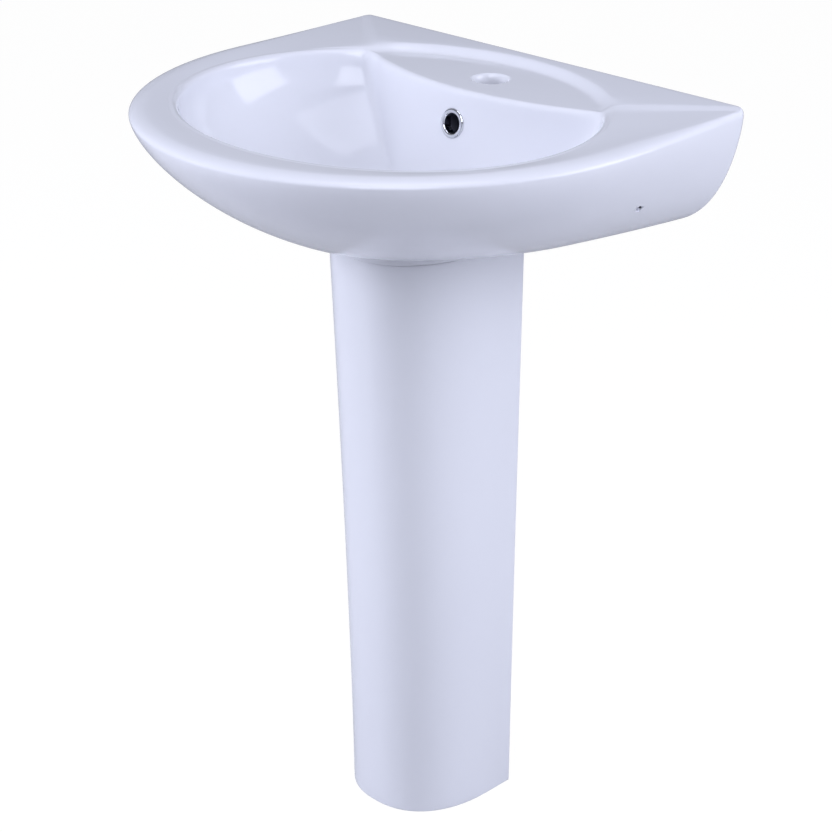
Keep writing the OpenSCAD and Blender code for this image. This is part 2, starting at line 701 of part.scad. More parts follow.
// Tapered rubber washer: its narrow end enters the waste hole
module cone_washer() {
    enter = 3;
    color(rubber) at_waste(cone_z) rotate_extrude() polygon([
        [washer_in_r, 0], [waste_hole_r + 8, 0], [waste_hole_r + 6, cone_washer_t],
        [waste_hole_r - fit_gap, cone_washer_t], [waste_hole_r - 1, cone_washer_t + enter],
        [washer_in_r, cone_washer_t + enter]]);
}

module slip_washer() {
    color(white_plastic) at_waste(slip_z) tube(waste_hole_r + 7, washer_in_r, slip_washer_t);
}

module back_nut() {
    color(brass) at_waste(nut_z) intersection() {
        difference() {
            cylinder(r = back_nut_af / 2 / cos(30), h = back_nut_t, $fn = 6);
            translate([0, 0, -past]) cylinder(r = washer_in_r, h = back_nut_t + 2 * past);
        }
        rotate_extrude() polygon([
            [0, 0], [back_nut_af / 2, 0], [back_nut_af / 2 / cos(30), 2],
            [back_nut_af / 2 / cos(30), back_nut_t - 2], [back_nut_af / 2, back_nut_t], [0, back_nut_t]]);
    }
}

// Plug: the cap, its seal and stem slide together. The stem's collar runs in the barrel
// against a spring, below the barrel's lid.
cap_z = flange_z + flange_t + plug_travel + loose_gap / 2;
hub_h = 6;
hub_r = barrel_r + 2.5;
barrel_top = flange_z - 14;
barrel_foot = barrel_top - barrel_len;
hub_z = barrel_top - 10 - hub_h;
barrel_lid = 3;
barrel_floor = 2;
collar_t = 3;
collar_top = barrel_top - barrel_lid - run_gap;
spring_foot = barrel_foot + barrel_floor;
spring_len = collar_top - collar_t - spring_foot;

module plug_cap() {
    rim_t = 0.8;
    color(chrome) at_waste(cap_z) rotate_extrude() polygon(concat(
        [[0, 0], [cap_r - rim_t, 0]],
        [for (a = [0 : 7.5 : 90]) [cap_r * cos(a), rim_t + (cap_h - rim_t) * sin(a)]]));
}

module plug_seal() {
    color(rubber) at_waste(cap_z - seal_h) difference() {
        cylinder(r1 = plug_seal_r - 1.2, r2 = plug_seal_r, h = seal_h);
        translate([0, 0, -past]) cylinder(r = plug_seal_r - 6, h = seal_h + 2 * past);
    }
}

module plug_stem() {
    color(steel) at_waste(0) {
        translate([0, 0, collar_top - collar_t]) cylinder(r = barrel_bore_r - run_gap, h = collar_t);
        translate([0, 0, collar_top - collar_t]) cylinder(r = stem_r, h = cap_z - collar_top + collar_t);
        translate([0, 0, cap_z - seal_h]) cylinder(r = plug_seal_r - 6 - fit_gap, h = seal_h);
    }
}

module plug_barrel() {
    color(white_plastic) at_waste(barrel_foot) difference() {
        cylinder(r = barrel_r, h = barrel_len);
        translate([0, 0, barrel_floor])
            cylinder(r = barrel_bore_r, h = barrel_len - barrel_floor - barrel_lid);
        translate([0, 0, barrel_len - barrel_lid - past])
            cylinder(r = stem_r + run_gap, h = barrel_lid + 2 * past);
    }
}

module plug_spring() {
    sides = 8;
    per_turn = 16;
    n = spring_turns * per_turn;
    coil_r = (stem_r + barrel_bore_r) / 2;
    rise = spring_len - 2 * spring_wire_r;
    points = [for (i = [0 : n], j = [0 : sides - 1])
        let (a = 360 * i / per_turn, b = 360 * j / sides, r = coil_r + spring_wire_r * cos(b))
        [r * cos(a), r * sin(a), spring_wire_r + rise * i / n + spring_wire_r * sin(b)]];
    skin = [for (i = [0 : n - 1], j = [0 : sides - 1])
        let (a = i * sides + j, b = i * sides + (j + 1) % sides)
        each [[a, b + sides, b], [a, a + sides, b + sides]]];
    ends = [[for (j = [0 : sides - 1]) j], [for (j = [sides - 1 : -1 : 0]) n * sides + j]];
    color(steel) at_waste(spring_foot) polyhedron(points = points, faces = concat(skin, ends));
}

// Trap: the head takes the waste tube above, a dip tube below and an outlet to the wall
inlet_washer_t = 3;
inlet_flange_t = 3;
inlet_flange_r = tube_r + 1;
inlet_z = tube_foot - inlet_washer_t;
neck_h = 14;
head_top = inlet_z - inlet_flange_t - neck_h;
head_foot = head_top - head_h;
dip_r = 16;
dip_len = cup_h * 0.6;
outlet_z = head_top - trap_wall - pipe_r - 4;
outlet_r = pipe_r + loose_gap + trap_wall;
outlet_reach = bottle_r + 16;
outlet_seal_t = 5;
outlet_nut_len = 18;

module inlet_nut() {
    lip = 3;
    nut_foot = inlet_z - inlet_flange_t - lip;
    color(white_plastic) at_waste(nut_foot) difference() {
        ribbed(trap_nut_r, trap_nut_h);
        translate([0, 0, -past]) cylinder(r = dip_r + trap_wall / 2 + 2, h = trap_nut_h + 2 * past);
        translate([0, 0, lip]) cylinder(r = inlet_flange_r + fit_gap, h = inlet_flange_t + inlet_washer_t);
        translate([0, 0, lip + inlet_flange_t + inlet_washer_t])
            cylinder(r = tube_r + fit_gap, h = trap_nut_h);
    }
}

// A hand nut with grip ribs round it
module ribbed(r, h) {
    ribs = 12;
    cylinder(r = r - 1.5, h = h);
    for (i = [0 : ribs - 1]) rotate([0, 0, 360 * i / ribs])
        translate([r - 3, -1.5, 1]) cube([3, 3, h - 2]);
}

module inlet_washer() {
    color(rubber) at_waste(inlet_z) tube(tube_r, dip_r, inlet_washer_t);
}

module trap_head() {
    color(white_plastic) difference() {
        union() {
            at_waste(inlet_z - inlet_flange_t) cylinder(r = inlet_flange_r, h = inlet_flange_t);
            at_waste(head_top - past) cylinder(r = dip_r + trap_wall / 2, h = neck_h + past);
            at_waste(head_foot) tube(bottle_r, bottle_r - trap_wall, head_h);
            at_waste(head_top - trap_wall) cylinder(r = bottle_r, h = trap_wall);
            at_waste(head_foot - dip_len) cylinder(r = dip_r, h = head_top - head_foot + dip_len);
            translate([0, waste_y + bottle_r - trap_wall * 2, outlet_z]) rotate([-90, 0, 0])
                cylinder(r = outlet_r, h = outlet_reach - bottle_r + trap_wall * 2);
        }
        at_waste(head_foot - dip_len - past)
            cylinder(r = dip_r - trap_wall, h = inlet_z - head_foot + dip_len + 2 * past);
        translate([0, waste_y + dip_r + past, outlet_z]) rotate([-90, 0, 0])
            cylinder(r = pipe_r + loose_gap, h = outlet_reach);
    }
}

// The cup's band screws over the foot of the head and presses the seal against it
cup_seal_t = 3;
cup_band_h = 11;
module trap_cup() {
    color(white_plastic) at_waste(head_foot - cup_h) difference() {
        union() {
            cylinder(r1 = bottle_r - 4, r2 = bottle_r, h = 6);
            translate([0, 0, 6]) cylinder(r = bottle_r, h = cup_h - 6);
            translate([0, 0, cup_h - 2 * cup_seal_t])
                ribbed(bottle_r + 4, cup_band_h + 2 * cup_seal_t);
        }
        translate([0, 0, trap_wall]) cylinder(r = bottle_r - trap_wall, h = cup_h);
        translate([0, 0, cup_h - cup_seal_t])
            cylinder(r = bottle_r + fit_gap, h = cup_seal_t + cup_band_h + past);
    }
}

module cup_seal() {
    color(rubber) at_waste(head_foot - cup_seal_t) tube(bottle_r, bottle_r - trap_wall, cup_seal_t);
}

module outlet_seal() {
    color(rubber) translate([0, waste_y + outlet_reach, outlet_z]) rotate([-90, 0, 0])
        tube(outlet_r, pipe_r + fit_gap, outlet_seal_t);
}

module outlet_nut() {
    lip = 3;
    start = outlet_reach + outlet_seal_t + lip - outlet_nut_len;
    color(white_plastic) translate([0, waste_y + start, outlet_z]) rotate([-90, 0, 0]) difference() {
        ribbed(outlet_r + 6, outlet_nut_len);
        translate([0, 0, -past]) cylinder(r = outlet_r + fit_gap, h = outlet_nut_len - lip + past);
        cylinder(r = pipe_r + fit_gap, h = outlet_nut_len + past);
    }
}

basin();
pedestal();
seat_pads();
overflow_ring();
waste_body();
flange_seal();
cone_washer();
slip_washer();
back_nut();
plug_cap();
plug_seal();
plug_stem();
plug_barrel();
plug_spring();
inlet_nut();
inlet_washer();
trap_head();
trap_cup();
cup_seal();
outlet_nut();
outlet_seal();
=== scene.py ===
import json
from math import acos, atan2, cos, degrees, pi, radians, sin

import bmesh
import bpy
from bpy.props import FloatProperty, FloatVectorProperty, IntProperty, PointerProperty
from mathutils import Matrix, Vector
from mathutils.geometry import intersect_point_line


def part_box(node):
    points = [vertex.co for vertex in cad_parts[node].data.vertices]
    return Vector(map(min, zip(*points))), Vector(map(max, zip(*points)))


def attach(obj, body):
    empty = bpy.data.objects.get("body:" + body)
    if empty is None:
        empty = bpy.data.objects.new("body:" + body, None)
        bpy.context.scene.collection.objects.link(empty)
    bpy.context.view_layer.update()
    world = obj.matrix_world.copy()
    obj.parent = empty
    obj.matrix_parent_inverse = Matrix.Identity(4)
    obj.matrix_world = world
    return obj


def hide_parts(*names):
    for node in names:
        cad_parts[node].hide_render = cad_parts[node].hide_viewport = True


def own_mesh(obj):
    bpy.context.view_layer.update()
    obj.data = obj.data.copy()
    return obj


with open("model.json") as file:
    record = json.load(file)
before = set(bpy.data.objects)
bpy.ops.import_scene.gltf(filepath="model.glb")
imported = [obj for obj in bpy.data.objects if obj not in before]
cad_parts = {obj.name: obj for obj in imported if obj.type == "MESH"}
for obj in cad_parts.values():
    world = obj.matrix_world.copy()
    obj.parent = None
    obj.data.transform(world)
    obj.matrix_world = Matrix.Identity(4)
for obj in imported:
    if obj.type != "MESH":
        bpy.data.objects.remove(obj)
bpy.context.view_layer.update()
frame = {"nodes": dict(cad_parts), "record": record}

bl_info = {
    "name": "Pedestal Sink",
    "version": (1, 0, 0),
    "blender": (4, 5, 0),
    "location": "View3D > Sidebar > Sink",
    "description": "Glazed china, metal and plastic for a pedestal sink on its packed frame",
    "category": "Add Mesh",
}

BASIN_LOW, BASIN_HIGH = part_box("basin")
PEDESTAL_LOW, PEDESTAL_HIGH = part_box("pedestal")
CAP_LOW, CAP_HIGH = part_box("plug_cap")

DECK_Z = BASIN_HIGH.z
WALL_Y = BASIN_HIGH.y
WASTE_D = WALL_Y - (CAP_LOW.y + CAP_HIGH.y) / 2
# Foot of the basin's collar, measured from the deck
COLLAR_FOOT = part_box("seat_pads")[1].z - DECK_Z
# A cutter runs this far past the face that it opens
PAST = 0.002
# Points that are nearer than this are one
TOUCH = 1e-6
UP = Vector((0, 0, 1))
FORWARD = Vector((0, -1, 0))


# Sizes and colours that a user may change

def number(name, description, default, **kind):
    return FloatProperty(name=name, description=description, default=default, **kind)


def length(name, description, default):
    return number(name, description, default, unit="LENGTH")


def watts(name, description, default):
    return number(name, description, default, unit="POWER")


def measured(kind):
    """Maker of lengths that are named after a part and one kind of measure."""
    def make(part, default):
        return length(f"{part} {kind}".capitalize(), f"{kind} of the {part}".capitalize(), default)

    return make


radius_of, width_of, half_width_of, depth_of, height_of, thickness_of = (
    measured(kind) for kind in ("radius", "width", "half width", "depth", "height", "thickness"))
from_wall, below_deck = measured("distance from the wall"), measured("depth below the deck")


def colour(name, description, default):
    return FloatVectorProperty(name=name, description=description, default=default,
                               subtype="COLOR", size=3, min=0.0, max=1.0)


class BasinShape(bpy.types.PropertyGroup):
    back_w: width_of("back", 0.538)
    widest_d: from_wall("widest line", 0.190)
    back_corner_r: radius_of("back corner", 0.012)
    rim_edge_w: width_of("rounded rim edge", 0.019)
    back_edge_w: width_of("rounded edge at the wall", 0.004)
    rim_edge_h: depth_of("rounded rim edge", 0.007)
    side_drop: length("Side drop", "How far the side rim lies below the back deck", 0.002)
    lip_drop: length("Lip drop", "How far the bowl's lip lies below the deck at its sides", 0.0045)
    bowl_w: width_of("bowl's opening", 0.444)
    bowl_widest_d: from_wall("bowl's widest line", 0.232)
    bowl_front_d: from_wall("bowl's front", 0.422)
    bowl_back_len: length("Bowl back length", "Oval's length behind its widest line", 0.200)
    bowl_depth: below_deck("bowl's floor", 0.120)
    lip_r: radius_of("bowl's lip", 0.006)
    ledge_drop: length("Ledge drop", "How far the tap ledge lies below the deck", 0.008)
    ledge_front_d: from_wall("tap ledge's front", 0.134)
    ledge_half_w: half_width_of("tap ledge", 0.163)
    ledge_bow: length("Ledge bow", "How far the front edge bows forward", 0.038)
    step_w: width_of("soft step behind the ledge", 0.016)
    crease_w: width_of("crease to each back corner", 0.022)
    ledge_end_soft: length("Ledge end softness", "Reach of the soft curve at its ends", 0.030)
    tap_hole_r: radius_of("tap hole", 0.0175)
    tap_hole_ease: length("Tap hole flare", "How far its mouth widens", 0.004)
    tap_hole_ease_h: depth_of("tap hole's flare", 0.010)
    tap_hole_d: from_wall("tap hole", 0.081)
    flank_front_across: number("Front across", "Fullness of the flank's front, across it", 1.4)
    flank_front_down: number("Front down", "Fullness of the flank's front, down it", 1.4)
    flank_back_across: number("Back across", "Fullness of the flank at the wall, across it", 4.4)
    flank_back_down: number("Back down", "Fullness of the flank at the wall, down it", 1.45)
    flank_fade: number("Flank fade", "How fast the flank changes from the one to the other", 2.3)
    flank_h: height_of("flank down to the collar", 0.139)
    collar_fillet_r: radius_of("hollow between flank and collar", 0.008)
    collar_power: number("Collar squareness", "Squareness of the collar", 2.3)
    collar_half_w: half_width_of("collar", 0.090)
    collar_front_d: from_wall("collar's front", 0.285)
    collar_curve_d: from_wall("start of the collar's curve", 0.150)
    collar_corner_r: radius_of("collar's back corner", 0.007)
    collar_lap: length("Collar lap", "How far the collar's edge hangs over the seat pads", 0.0011)
    china_t: thickness_of("china walls", 0.009)
    deck_t: thickness_of("deck", 0.013)
    floor_r: radius_of("bowl's floor", 0.038)
    recess_r: radius_of("waste flange's recess", 0.034)
    recess_t: depth_of("waste flange's recess", 0.0025)
    waste_hole_r: radius_of("waste hole", 0.023)
    boss_h: height_of("boss round the waste hole", 0.030)
    overflow_z: below_deck("overflow", 0.044)
    overflow_r: radius_of("overflow hole", 0.012)
    overflow_face_r: radius_of("overflow ring's face", 0.0155)
    wall_hole_gap: length("Wall hole gap", "Distance between the wall holes", 0.280)
    wall_hole_r: radius_of("wall holes", 0.007)
    wall_hole_z: below_deck("wall holes", 0.075)
    overflow_face_t: thickness_of("overflow ring's face", 0.002)
    overflow_wall: thickness_of("overflow ring's sleeve", 0.0016)
    overflow_sleeve: length("Overflow sleeve", "Length of the overflow ring's sleeve", 0.008)
    channel_r: radius_of("overflow channel", 0.008)
    channel_wall: thickness_of("overflow channel", 0.0045)
    channel_slope: number("Channel slope", "How far the channel comes forward as it falls", 0.24,
                          subtype="FACTOR")
    port_r: radius_of("port into the waste hole", 0.007)
    vent_r: radius_of("flank hole's mouth", 0.004)
    vent_d: from_wall("flank holes", 0.131)
    vent_z: below_deck("flank holes", 0.078)
    vent_turn: number("Vent turn", "How far the flank holes turn back towards the wall",
                      radians(55), subtype="ANGLE")
    vent_dent: depth_of("flank hole's mouth", 0.0045)
    vent_core_r: radius_of("flank hole behind its mouth", 0.0014)
    vent_len: length("Vent length", "Length of the flank holes", 0.052)


class PedestalShape(bpy.types.PropertyGroup):
    foot_half_w: half_width_of("foot", 0.080)
    foot_front_d: from_wall("foot's front", 0.256)
    flare: number("Flare", "How strongly the pedestal flares at its head", 1.4)
    side_share: number("Straight side", "Share of its depth that is straight at the sides", 0.26,
                       subtype="FACTOR")
    squareness: number("Squareness", "Squareness of the section", 2.3)
    wall_t: thickness_of("wall", 0.011)
    edge_r: radius_of("rounded edges", 0.0012)
    lug_h: height_of("fixing lugs in the foot", 0.014)
    lug_hole_r: radius_of("screw holes in the lugs", 0.004)
    lug_hole_inset: length("Lug hole inset", "Distance of those holes from the open back", 0.014)


class SpringShape(bpy.types.PropertyGroup):
    wire_r: radius_of("spring's wire", 0.0006)
    turns: IntProperty(name="Turns", description="Turns of the spring", default=5, min=2)


class SinkLook(bpy.types.PropertyGroup):
    glaze: colour("Glaze", "Colour of the glazed china", (0.74, 0.75, 0.805))
    glaze_shade: colour("Glaze shade", "Colour where the glaze pools", (0.72, 0.73, 0.787))
    # Near black: the shade deep in the overflow's bores, painted into the clay's colour
    clay: colour("Clay", "Colour of the bare clay inside the overflow", (0.032, 0.034, 0.050))
    chrome: colour("Chrome", "Colour of the plated metal", (0.80, 0.81, 0.84))
    brass: colour("Brass", "Colour of the brass nut", (0.66, 0.45, 0.16))
    rubber: colour("Rubber", "Colour of the seals", (0.018, 0.018, 0.020))
    plastic: colour("Plastic", "Colour of the trap", (0.80, 0.80, 0.77))
    steel: colour("Steel", "Colour of the stem and spring", (0.52, 0.53, 0.55))


class StudioLook(bpy.types.PropertyGroup):
    distance: length("Camera distance", "Distance from camera to target", 2.578)
    left_light: watts("Left light", "Strength of the left softbox", 73.0)
    right_light: watts("Right light", "Strength of the right softbox", 54.0)
    front_light: watts("Front light", "Strength of the high softbox by the camera", 42.0)
    top_light: watts("Top light", "Strength of the overhead softbox", 12.0)
    room_light: number("Room light", "Strength of the even room light", 0.062)
    mirrored_room: number("Mirrored room", "Strength of the room in reflections", 0.30)
    light_colour: colour("Light colour", "Colour of all the lights", (0.86, 0.885, 1.0))


# Numbers and outlines of the china, in metres. A half outline is a list of points
# (x, distance from the wall) from the middle of the back to the middle of the front.

def mix(a, b, t):
    return a + (b - a) * t


def smooth(t):
    return t * t * (3 - 2 * t)


def clamp01(t):
    return min(1.0, max(0.0, t))


def fractions(count, first=1):
    return [k / count for k in range(first, count + 1)]


def quarter(count, first=1):
    """Angles of a quarter turn in equal steps."""
    return [t * pi / 2 for t in fractions(count, first)]


def point(x, d, z):
    """A place by its distances to the right, from the wall, and up from the deck."""
    return Vector((x, WALL_Y - d, DECK_Z + z))


def back_and_corner(half_w, d, r, back_n, corner_n):
    """The straight back of an outline, at a distance from the wall, and its rounded corner."""
    line = [Vector(((half_w - r) * t, d)) for t in fractions(back_n, 0)]
    return line + [Vector((half_w - r * (1 - sin(a)), d + r * (1 - cos(a))))
                   for a in quarter(corner_n)]


def section_curve(w, curve_d, front, power, count):
    """The rounded front of a collar or pedestal section, from its side to its middle."""
    line = [Vector((w * max(0.0, cos(a)) ** (2 / power),
                    mix(curve_d, front, sin(a) ** (2 / power)))) for a in quarter(count)]
    line[-1].x = 0
    return line


class BasinLines:
    """Outlines and sections of the basin, at a chosen fineness."""

    # Points along the back, round the back corner, down the side and round the front
    back_n, corner_n, side_n, front_n = 18, 12, 12, 30
    # Points past the corner over which the side deck comes down to its own height
    crease_n = 6
    # Points of the service hollow along its back, down its side and across to the bowl, and
    # how many points before the corner's end it meets the bowl
    hollow_back_n, hollow_side_n, hollow_cross_n, hollow_bend_n = 6, 6, 4, 3
    # How much narrower the hollow's mouth is than the collar's inside
    mouth_gap = 0.001
    # Fullness of the bowl's section at its back and front, and the bearings from the waste,
    # in degrees off straight back, over which the one turns into the other
    back_power, front_power, power_from, power_span = 1.2, 2.2, 50, 70
    # How steeply the bowl leaves its lip
    bowl_fall = 1.8
    # The bowl's wall in units of china_t, at its back and front, and its gain at the foot
    wall_back, wall_front, wall_foot = 1.2, 1.8, 1.8

    def __init__(self, shape):
        self.s = shape
        self.waste = Vector((0, WASTE_D))
        # The first point past the back corner
        self.side = self.back_n + self.corner_n
        self.half_w = BASIN_HIGH.x
        self.basin_d = BASIN_HIGH.y - BASIN_LOW.y
        self.ledge_end = acos(shape.ledge_half_w / (shape.bowl_w / 2))
        self.crease = shape.crease_w / shape.bowl_back_len / 2
        self.rim = self.rim_outline()
        self.oval = self.oval_outline()
        self.opening = self.opening_outline()
        self.collar = self.collar_outline(0)
        self.collar_in = self.collar_outline(shape.china_t)
        self.flank_foot = self.wider_collar(shape.collar_fillet_r)

    def rim_outline(self):
        s = self.s
        half_back, r = s.back_w / 2, s.back_corner_r
        line = back_and_corner(half_back, 0, r, self.back_n, self.corner_n)
        line += [Vector((mix(half_back, self.half_w, sin(t * pi / 2)),
                         mix(r, s.widest_d, t))) for t in fractions(self.side_n)]
        return line + [Vector((self.half_w * cos(a),
                               s.widest_d + (self.basin_d - s.widest_d) * sin(a)))
                       for a in quarter(self.front_n)]

    def oval_point(self, a):
        s = self.s
        return Vector((s.bowl_w / 2 * cos(a), s.bowl_widest_d - s.bowl_back_len * sin(a)))

    def side_of_bowl(self):
        s = self.s
        start = self.ledge_end - self.crease
        line = [self.oval_point(start * (1 - t)) for t in fractions(self.side_n)]
        return line + [Vector((s.bowl_w / 2 * cos(a),
                               mix(s.bowl_widest_d, s.bowl_front_d, sin(a))))
                       for a in quarter(self.front_n)]

    def oval_outline(self):
        end = self.ledge_end + self.crease
        line = [self.oval_point(mix(pi / 2, end, t)) for t in fractions(self.back_n, 0)]
        line += [self.oval_point(end - 2 * self.crease * t) for t in fractions(self.corner_n)]
        return line + self.side_of_bowl()

    def ledge_edge(self, x):
        s = self.s
        return Vector((x, s.ledge_front_d - s.ledge_bow * (x / s.ledge_half_w) ** 2))

    def opening_outline(self):
        last = self.s.ledge_half_w - self.s.crease_w
        a, b = self.ledge_edge(last), self.oval_point(self.ledge_end)
        c = self.oval_point(self.ledge_end - self.crease)
        line = [self.ledge_edge(last * t) for t in fractions(self.back_n, 0)]
        line += [a * (1 - t) ** 2 + b * 2 * t * (1 - t) + c * t * t
                 for t in fractions(self.corner_n)]
        return line + self.side_of_bowl()

    def collar_outline(self, t_in):
        s = self.s
        w, front, r = s.collar_half_w - t_in, s.collar_front_d - t_in, s.collar_corner_r - t_in / 2
        line = back_and_corner(w, t_in, r, self.back_n, self.corner_n)
        line += [Vector((w, mix(t_in + r, s.collar_curve_d, t))) for t in fractions(self.side_n)]
        return line + section_curve(w, s.collar_curve_d, front, s.collar_power, self.front_n)

    def backness(self, k):
        return smooth(clamp01(1 - self.rim[k].y / self.s.widest_d))

    def frontness(self, k):
        return smooth(clamp01((k - self.back_n) / self.corner_n))

    def sideness(self, k):
        """Runs from 0 on the ledge and the deck behind it to 1 on the side deck."""
        return smooth(clamp01((k - self.back_n) / (self.corner_n + self.crease_n)))

    def deck_z(self, k):
        return -self.s.side_drop * self.sideness(k)

    def lip_z(self, k):
        return mix(-self.s.ledge_drop, -self.s.lip_drop, self.sideness(k))

    def edge_w(self, k):
        near_wall = 1 if k <= self.back_n else self.backness(k)
        return mix(self.s.rim_edge_w, self.s.back_edge_w, near_wall)

    def inward(self, line, k):
        before = line[k - 1] if k else Vector((-line[1].x, line[1].y))
        last = len(line) - 1
        after = line[k + 1] if k < last else Vector((-line[last - 1].x, line[last - 1].y))
        along = (after - before).normalized()
        return Vector((-along.y, along.x))

    def inset(self, line, width):
        moved = [p + self.inward(line, k) * width(k) for k, p in enumerate(line)]
        moved[0].x = moved[-1].x = 0
        return moved

    def ring(self, line, height):
        """A closed loop of points from a half outline and a height for each of its points."""
        half = [point(p.x, p.y, height(k)) for k, p in enumerate(line)]
        return half + [Vector((-p.x, p.y, p.z)) for p in half[-2:0:-1]]

    def level(self, line, z):
        return self.ring(line, lambda k: z)

    def from_waste(self, k):
        return self.opening[k] - self.waste

    def round_ring(self, r, z):
        """A circle round the waste whose points follow the directions of the bowl's."""
        line = [self.waste + self.from_waste(k).normalized() * r for k in range(len(self.opening))]
        return self.level(line, z)

    def bowl_power(self, k):
        v = self.from_waste(k)
        turn = (degrees(atan2(v.x, -v.y)) - self.power_from) / self.power_span
        return mix(self.back_power, self.front_power, smooth(clamp01(turn)))

    def bowl_way(self, k, g):
        """Share of the way from lip to floor that the bowl has come in at a share of its depth."""
        return 1 - (1 - g ** self.bowl_fall) ** (1 / self.bowl_power(k))

    def bowl_point(self, k, g):
        v = self.from_waste(k)
        return self.waste + v.normalized() * mix(v.length, self.s.floor_r, self.bowl_way(k, g))

    def bowl_ring(self, g):
        s, line = self.s, [self.bowl_point(k, g) for k in range(len(self.opening))]
        return self.ring(line, lambda k: mix(self.lip_z(k) - s.lip_r, -s.bowl_depth, g))

    def wider_collar(self, r):
        """The collar's outline moved out by r at its sides and front."""
        wide = self.inset(self.collar, lambda k: -r * self.frontness(k))
        return [Vector((p.x, max(p.y, q.y))) for p, q in zip(wide, self.collar)]

    def fillet_ring(self, a):
        """Hollow curve between flank and collar, at an angle of its quarter round."""
        r = self.s.collar_fillet_r
        return self.ring(self.wider_collar(r * (1 - sin(a))),
                         lambda k: -self.s.flank_h - r * (1 - cos(a)))

    def flank_powers(self, k):
        """Fullness of the flank across it and down it."""
        s = self.s
        near_wall = max(0.0, 1 - self.rim[k].y / self.basin_d) ** s.flank_fade
        return (mix(s.flank_front_across, s.flank_back_across, near_wall),
                mix(s.flank_front_down, s.flank_back_down, near_wall))

    def flank_ring(self, way):
        s = self.s

        def height(k):
            across, down = self.flank_powers(k)
            drop = (1 - (1 - way) ** across) ** (1 / down)
            return mix(self.deck_z(k) - s.rim_edge_h, -s.flank_h, drop)

        return self.ring([mix(a, b, way) for a, b in zip(self.rim, self.flank_foot)], height)

    def lip_ring(self, a):
        s = self.s
        return self.ring(self.inset(self.opening, lambda k: -s.lip_r * (1 - cos(a))),
                         lambda k: self.lip_z(k) - s.lip_r * (1 - sin(a)))

    def rim_ring(self, a):
        return self.ring(self.inset(self.rim, lambda k: self.edge_w(k) * (1 - sin(a))),
                         lambda k: self.deck_z(k) - self.s.rim_edge_h * (1 - cos(a)))

    def ledge_ring(self, t, rise, step):
        s, line = self.s, []
        for k, p in enumerate(self.opening):
            out = self.inward(self.opening, k)
            lip, beside = p - out * s.lip_r, p - out * (s.lip_r + step)
            if t <= 1:
                behind = mix(lip, self.oval[k], t)
            else:
                behind = self.oval[k] - self.inward(self.oval, k) * s.step_w * (t - 1)
            line.append(mix(behind, beside, self.sideness(k)))
        return self.ring(line, lambda k: mix(mix(-s.ledge_drop, 0, rise), -s.lip_drop,
                                             self.sideness(k)))

    def hollow_line(self, z):
        """Half outline of the hollow behind the bowl at one height, inside the china's walls."""
        last, bend = self.side + self.hollow_side_n, self.side - self.hollow_bend_n
        half_w = self.flank_in(self.side, z).x
        end, start = self.flank_in(last, z), self.bowl_out(bend, z)
        line = [Vector((half_w * t, self.s.china_t)) for t in fractions(self.hollow_back_n, 0)]
        line += [self.flank_in(k, z) for k in range(self.side + 1, last + 1)]
        line += [mix(end, start, t) for t in fractions(self.hollow_cross_n + 1)[:-1]]
        return line + [self.bowl_out(k, z) for k in range(bend, -1, -1)]

    def hollow_ring(self, z):
        return self.level(self.hollow_line(z), z)

    def hollow_mouth(self, z):
        """The hollow's square mouth inside the collar, with as many points as hollow_ring."""
        s = self.s
        w, back = s.collar_half_w - s.china_t - self.mouth_gap, s.china_t + self.mouth_gap
        front = WASTE_D - s.floor_r - s.china_t
        line = [Vector((w * t, back)) for t in fractions(self.hollow_back_n, 0)]
        line += [Vector((w, mix(back, front, t))) for t in fractions(self.hollow_side_n)]
        rest = len(self.hollow_line(z)) - len(line)
        return self.level(line + [Vector((w * (1 - t), front)) for t in fractions(rest)], z)

    def flank_out(self, k, z):
        """Point of the flank at one height."""
        top = self.deck_z(k) - self.s.rim_edge_h
        drop = clamp01((top - z) / (self.s.flank_h + top))
        across, down = self.flank_powers(k)
        return mix(self.rim[k], self.flank_foot[k], 1 - (1 - drop ** down) ** (1 / across))

    def flank_in(self, k, z):
        return self.flank_out(k, z - self.s.china_t) - Vector((self.s.china_t, 0))

    def bowl_out(self, k, z):
        """Point of the bowl's outer face at one height."""
        s, top = self.s, self.lip_z(k) - self.s.lip_r
        g = clamp01((top - z) / (s.bowl_depth + top))
        thick = mix(self.wall_back, self.wall_front, self.frontness(k)) * mix(1, self.wall_foot, g)
        return self.bowl_point(k, g) - self.inward(self.opening, k) * (thick * s.china_t)

    def vent(self):
        """Where the side vent leaves the flank, seen from above."""
        points = range(self.side, self.side + self.side_n + 1)
        line = [self.flank_out(k, -self.s.vent_z) for k in points]
        near = next(k for k, p in enumerate(line) if p.y > self.s.vent_d)
        a, b = line[near - 1], line[near]
        return mix(a, b, (self.s.vent_d - a.y) / (b.y - a.y))

    def back_wall_d(self, z):
        """Distance of the bowl's back wall from the wall at a depth below the deck."""
        s = self.s
        g = (z - s.ledge_drop - s.lip_r) / (s.bowl_depth - s.ledge_drop - s.lip_r)
        return mix(s.ledge_front_d, WASTE_D - s.floor_r, self.bowl_way(0, g))

    def overflow(self):
        """Middle of the overflow on the bowl's back wall, and the way that it faces."""
        z, near = self.s.overflow_z, 0.005
        lean = (self.back_wall_d(z + near) - self.back_wall_d(z - near)) / 2 / near
        return point(0, self.back_wall_d(z), -z), Vector((0, -1, lean)).normalized()


# Mesh helpers

def extrude_row(bm, row, edges, points):
    """Extrudes a row of edges to the next points and returns the new row of vertices."""
    made = bmesh.ops.extrude_edge_only(bm, edges=edges)["geom"]
    fresh = {item for item in made if isinstance(item, bmesh.types.BMVert)}
    row = [next(e.other_vert(v) for e in v.link_edges if e.other_vert(v) in fresh) for v in row]
    for v, p in zip(row, points):
        v.co = p
    return row


def clean(bm):
    bmesh.ops.remove_doubles(bm, verts=bm.verts, dist=TOUCH)
    bmesh.ops.recalc_face_normals(bm, faces=bm.faces)


